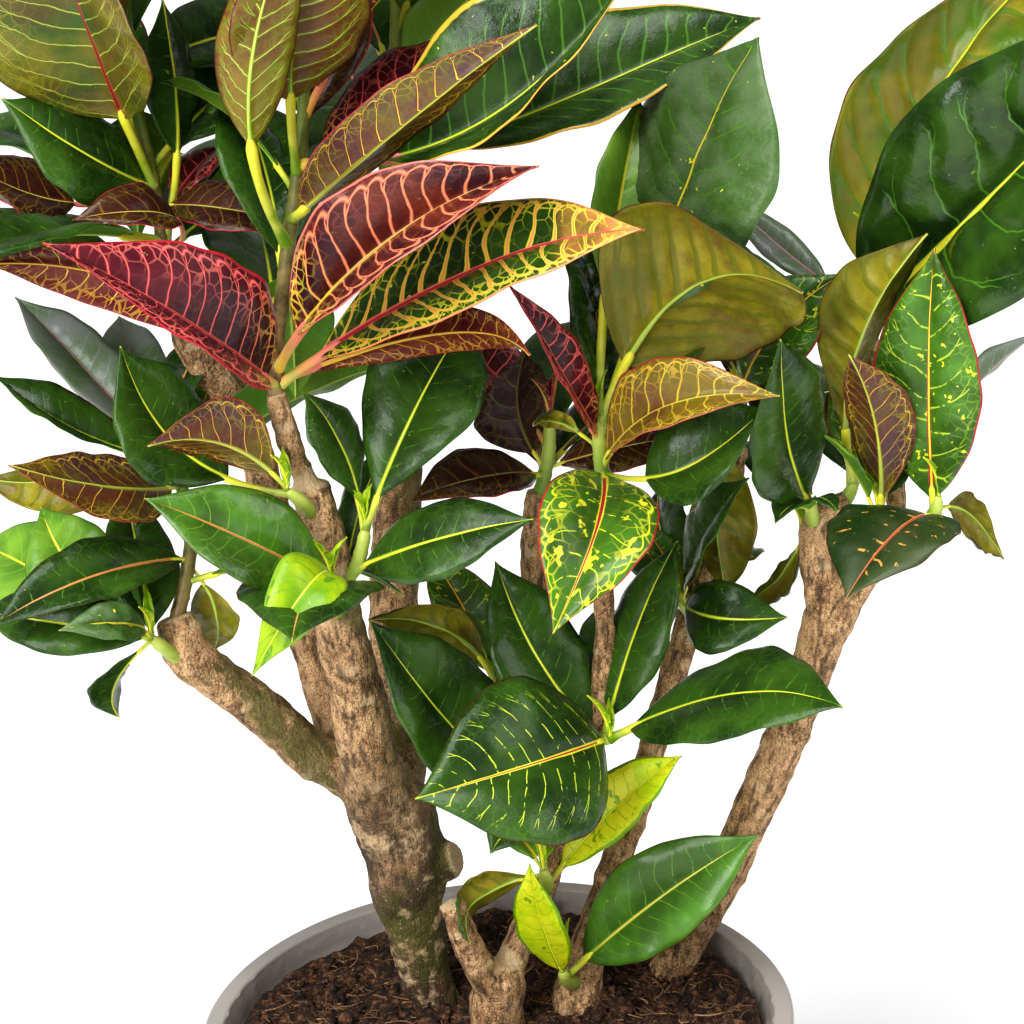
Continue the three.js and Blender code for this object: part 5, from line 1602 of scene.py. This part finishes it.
def leaf_finishes(settings):
    """All materials of the leaves, stalks and young stems by name, in a fixed order."""
    palette = {key: tuple(getattr(settings, key)) for key in CrotonLeaves.__annotations__
               if hasattr(getattr(settings, key), "__len__")}
    made = {name: leaf_material(name, look, palette, settings) for name, look in LOOKS.items()}
    for name, tones in STALKS.items():
        made[name] = stalk_material(name, *(palette[c] for c in tones))
    return made


# Settings


def hue(name, code, about):
    return FloatVectorProperty(name=name, description=about, subtype="COLOR", size=3,
                               min=0, max=1, default=paint(code))


def measure(name, default, about, low, high, **more):
    return FloatProperty(name=name, default=default, description=about, min=low, max=high, **more)


def whole(name, default, about, low, high):
    return IntProperty(name=name, default=default, description=about, min=low, max=high)


class CrotonPot(bpy.types.PropertyGroup):
    turned_steps: whole("Steps round", 180, "Faces round the pot's wall", 48, 360)
    throat_ribs: whole("Ribs inside rim", 44, "Small upright ribs on the rim's inner edge", 0, 90)
    plastic: hue("Plastic", "a8a19c", "Colour of the pot's plastic")
    plastic_shade: hue("Plastic shade", "9a9490", "Darker patches of the pot's plastic")
    plastic_dust: hue("Dust", "4a3b30", "Peat dust that clings to the plastic")


class CrotonSoil(bpy.types.PropertyGroup):
    soil_rings: whole("Rings", 84, "Rings of the peat's surface from middle to wall", 20, 160)
    lump_height: measure("Lump height", 3.6, "Height of the peat's coarse lumps, in millimetres", 0, 6)
    clods: whole("Loose clods", 2500, "Loose lumps on the peat", 0, 5000)
    large_clods: whole("Large clods", 190, "How many are large", 0, 400)
    fibres: whole("Fibres", 1200, "Fibres lying on the peat", 0, 2000)
    peat_dark: hue("Dark peat", "21130b", "Darkest crumbs")
    peat_light: hue("Light peat", "7a5238", "Lightest crumbs")
    fleck: hue("Flecks", "a5835c", "Flecks and fibres of undecayed plant")


class CrotonWood(bpy.types.PropertyGroup):
    voxel: measure("Mesh step", 1.7, "Size of the bark's faces, in millimetres", 1, 5)
    scar_height: measure("Scar height", 0.55, "Height of the leaf scars' rims, in millimetres", 0, 2)
    bark_light: hue("Light bark", "dfb484", "Tan of the smoother bark")
    bark_dark: hue("Dark bark", "9a744c", "Brown of the rougher bark")
    bark_crack: hue("Cracks", "3c2b1a", "Bottoms of the cracks in the bark")
    scar: hue("Scars", "e3c49a", "Pale rims of the leaf scars")
    cut_wood: hue("Cut wood", "cdb48d", "Sawn ends of old branches")
    moss: hue("Green film", "56581f", "Green film on the oldest trunk")
    lichen: hue("Lichen", "c3bfa0", "Pale dots in the green film")


class CrotonLeaves(bpy.types.PropertyGroup):
    blade_thickness: measure("Blade thickness", 0.5, "Thickness of a blade, in millimetres", 0.2, 2)
    vein_relief: measure("Vein relief", 0.42, "How far tissue swells between side veins", 0, 2)
    midrib_height: measure("Midrib height", 1.15, "How far the midrib stands out of a leaf's back", 0, 3)
    wave_height: measure("Edge waves", 0.9, "Height of the waves along a wide leaf's edge", 0, 4)
    vein_width: measure("Vein width", 1.0, "Scales the midribs' colour", 0.2, 3)
    net_strength: measure("Net strength", 1.0, "Scales the fine net's colour", 0, 2)
    leaf_roughness: measure("Roughness", 0.27, "Roughness of a leaf's face", 0.05, 1, subtype="FACTOR")
    leaf_coat: measure("Wax", 0.08, "Gloss of the wax on a leaf's face", 0, 1, subtype="FACTOR")
    deep_green: hue("Deep green", "365518", "Mature leaf tissue")
    night_green: hue("Night green", "1c3310", "Darkest leaf tissue")
    mid_green: hue("Mid green", "4f7d26", "Younger leaf tissue")
    fresh_green: hue("Fresh green", "7ba336", "Young leaf tissue and faint veins")
    lime: hue("Lime", "a9c014", "Newest leaves")
    young: hue("Young leaf", "dcd82a", "Yellow newest leaves near the peat")
    lime_dark: hue("Shaded lime", "64900e", "Newest leaves in their darker parts")
    grey_green: hue("Grey green", "5b704c", "Dull wrinkled tissue")
    # A pale grey: partly the grey leaves' own colour, partly painted sheen
    slate: hue("Slate", "7e8081", "Grey dark leaves")
    dusk: hue("Dusky green", "3f4a2a", "Dull dark leaves")
    wine: hue("Wine", "5a1420", "Red leaves")
    wine_brown: hue("Wine brown", "6b2c1b", "Browner parts of red leaves")
    wine_dark: hue("Dark wine", "33101a", "Darkest parts of red leaves")
    bronze: hue("Bronze", "452613", "Brown leaves")
    purple_brown: hue("Purple brown", "4f3238", "Purple backs")
    olive: hue("Olive", "9a9022", "Backs of the older leaves")
    olive_dark: hue("Dark olive", "6c6a18", "Darker parts of olive backs")
    olive_brown: hue("Olive brown", "7d6224", "Browner parts of olive backs")
    brown_back: hue("Brown back", "5f3322", "Brown backs")
    leaf_back: hue("Green back", "5c7a22", "Dull green backs")
    yellow_vein: hue("Yellow vein", "e4df3c", "Yellow-green veins and blotches")
    gold: hue("Gold vein", "dbb13f", "Golden veins")
    orange: hue("Orange vein", "e8935a", "Orange veins")
    coral: hue("Coral vein", "e0786c", "Pink veins")
    crimson: hue("Crimson", "ad2634", "Red ribs and margins")
    stalk: hue("Stalk", "b4c15a", "Yellow-green stalks")
    stem: hue("Stem", "8a7448", "Young brown stems")


class CrotonStage(bpy.types.PropertyGroup):
    floor_radius: measure("Floor radius", 12, "Radius of the round floor", 2, 40, unit="LENGTH")
    floor_colour: hue("Floor", "f2f2f2", "Colour of the floor")
    world_light: measure("Sky light", 0.28, "Even light from all round", 0, 5)
    key_light: measure("Key light", 2.9, "Soft even light from the front left above", 0, 20)
    front_power: measure("Front light", 52, "Soft light from the front left", 0, 500, unit="POWER")
    fill_power: measure("Fill light", 14, "Soft light from the right", 0, 500, unit="POWER")


SETTINGS = {"croton_pot": CrotonPot, "croton_soil": CrotonSoil, "croton_wood": CrotonWood,
            "croton_leaves": CrotonLeaves, "croton_stage": CrotonStage}

# Operators


def make_floor(settings):
    shape = bmesh.new()
    bmesh.ops.create_circle(shape, cap_ends=True, radius=settings.floor_radius, segments=96)
    mesh = bpy.data.meshes.new("studio_floor")
    shape.to_mesh(mesh)
    shape.free()
    mesh.materials.append(floor_material(settings))
    return link(bpy.data.objects.new("studio_floor", mesh))


def light_stage(scene, settings):
    """Even light from all round and the three soft lamps."""
    world = bpy.data.worlds.new("studio")
    world.use_nodes = True
    sky = world.node_tree.nodes["Background"]
    sky.inputs["Color"].default_value = (1, 1, 1, 1)
    sky.inputs["Strength"].default_value = settings.world_light
    scene.world = world
    powers = {"key": settings.key_light, "front": settings.front_power, "fill": settings.fill_power}
    for name, (kind, place, width) in LAMPS.items():
        light = bpy.data.lights.new(name, kind)
        if kind == "SUN":
            light.angle = math.radians(width)
        else:
            light.size = width
        light.energy = powers[name]
        lamp = link(bpy.data.objects.new(name, light))
        lamp.location = place
        lamp.rotation_euler = (LAMP_TARGET - Vector(place)).to_track_quat("-Z", "Y").to_euler()


def set_camera(scene):
    """The camera of the photograph, which looks a little down and leans."""
    view = bpy.data.cameras.new("photo_view")
    view.lens = CAMERA_LENS
    view.clip_end = 60
    camera = link(bpy.data.objects.new("photo_view", view))
    down, roll = math.radians(CAMERA_DOWN), math.radians(CAMERA_ROLL)
    forward = Vector((0, math.cos(down), -math.sin(down)))
    raised = Vector((0, math.sin(down), math.cos(down)))
    flat = Vector((1, 0, 0))
    right = flat * math.cos(roll) + raised * math.sin(roll)
    up = raised * math.cos(roll) - flat * math.sin(roll)
    turned = Matrix((right, up, -forward)).transposed().to_4x4()
    camera.matrix_world = Matrix.Translation(CAMERA_PLACE) @ turned
    scene.camera = camera


class OBJECT_OT_croton_stage(bpy.types.Operator):
    """Set the floor, the soft light and the camera of the photograph"""
    bl_idname = "object.croton_stage"
    bl_label = "Stage"

    def execute(self, context):
        scene = context.scene
        make_floor(scene.croton_stage)
        light_stage(scene, scene.croton_stage)
        set_camera(scene)
        scene.view_settings.view_transform = "Standard"
        scene.view_settings.look = "Medium High Contrast"
        return {"FINISHED"}


class OBJECT_OT_croton_pot(bpy.types.Operator):
    """Turn the nursery pot from its section"""
    bl_idname = "object.croton_pot"
    bl_label = "Nursery pot"

    def execute(self, context):
        settings = context.scene.croton_pot
        build_pot(settings, plastic_material(settings))
        return {"FINISHED"}


class OBJECT_OT_croton_soil(bpy.types.Operator):
    """Fill the pot with peat, clods and fibres"""
    bl_idname = "object.croton_soil"
    bl_label = "Peat"

    def execute(self, context):
        settings = context.scene.croton_soil
        build_soil(settings, [peat_material(settings), fibre_material(settings)])
        return {"FINISHED"}


class OBJECT_OT_croton_wood(bpy.types.Operator):
    """Grow each plant's trunk and limbs"""
    bl_idname = "object.croton_wood"
    bl_label = "Trunks and limbs"

    def execute(self, context):
        settings = context.scene.croton_wood
        for name, plant in PLANTS.items():
            finish = bark_material("bark_" + name, settings, name == "wood_left")
            mesh = build_wood(name + "_bark", plant, settings, finish)
            place_piece(name + "_bark", mesh, "bark", name)
        return {"FINISHED"}


class OBJECT_OT_croton_leaves(bpy.types.Operator):
    """Dress each shoot with its stem, stalks, leaves and bud"""
    bl_idname = "object.croton_leaves"
    bl_label = "Shoots and leaves"

    def execute(self, context):
        settings = context.scene.croton_leaves
        made = leaf_finishes(settings)
        numbers = {key: number for number, key in enumerate(made)}
        for name, shoot in SHOOTS.items():
            skin = Skin()
            add_shoot(skin, name, shoot, numbers, settings)
            mesh = skin.mesh(name + "_leaves", list(made.values()))
            place_piece(name + "_leaves", mesh, shoot.get("slot", USUAL_SLOT), name)
        return {"FINISHED"}


OPERATORS = (OBJECT_OT_croton_stage, OBJECT_OT_croton_pot, OBJECT_OT_croton_soil, OBJECT_OT_croton_wood,
             OBJECT_OT_croton_leaves)


class VIEW3D_PT_croton(bpy.types.Panel):
    """Lists the croton's sizes, colours and build steps"""
    bl_idname = "VIEW3D_PT_croton"
    bl_label = "Croton"
    bl_space_type = "VIEW_3D"
    bl_region_type = "UI"
    bl_category = "Croton"

    def draw(self, context):
        for operator in OPERATORS:
            self.layout.operator(operator.bl_idname)
        for key, group in SETTINGS.items():
            box = self.layout.box()
            box.label(text=key.replace("_", " ").capitalize())
            for name in group.__annotations__:
                box.prop(getattr(context.scene, key), name)


CLASSES = (*SETTINGS.values(), *OPERATORS, VIEW3D_PT_croton)


def register():
    for cls in CLASSES:
        bpy.utils.register_class(cls)
    for key, group in SETTINGS.items():
        setattr(bpy.types.Scene, key, PointerProperty(type=group))


def unregister():
    for key in SETTINGS:
        delattr(bpy.types.Scene, key)
    for cls in reversed(CLASSES):
        bpy.utils.unregister_class(cls)


def main():
    register()
    for operator in OPERATORS:
        group, name = operator.bl_idname.split(".")
        getattr(getattr(bpy.ops, group), name)()


if __name__ == "__main__":
    main()
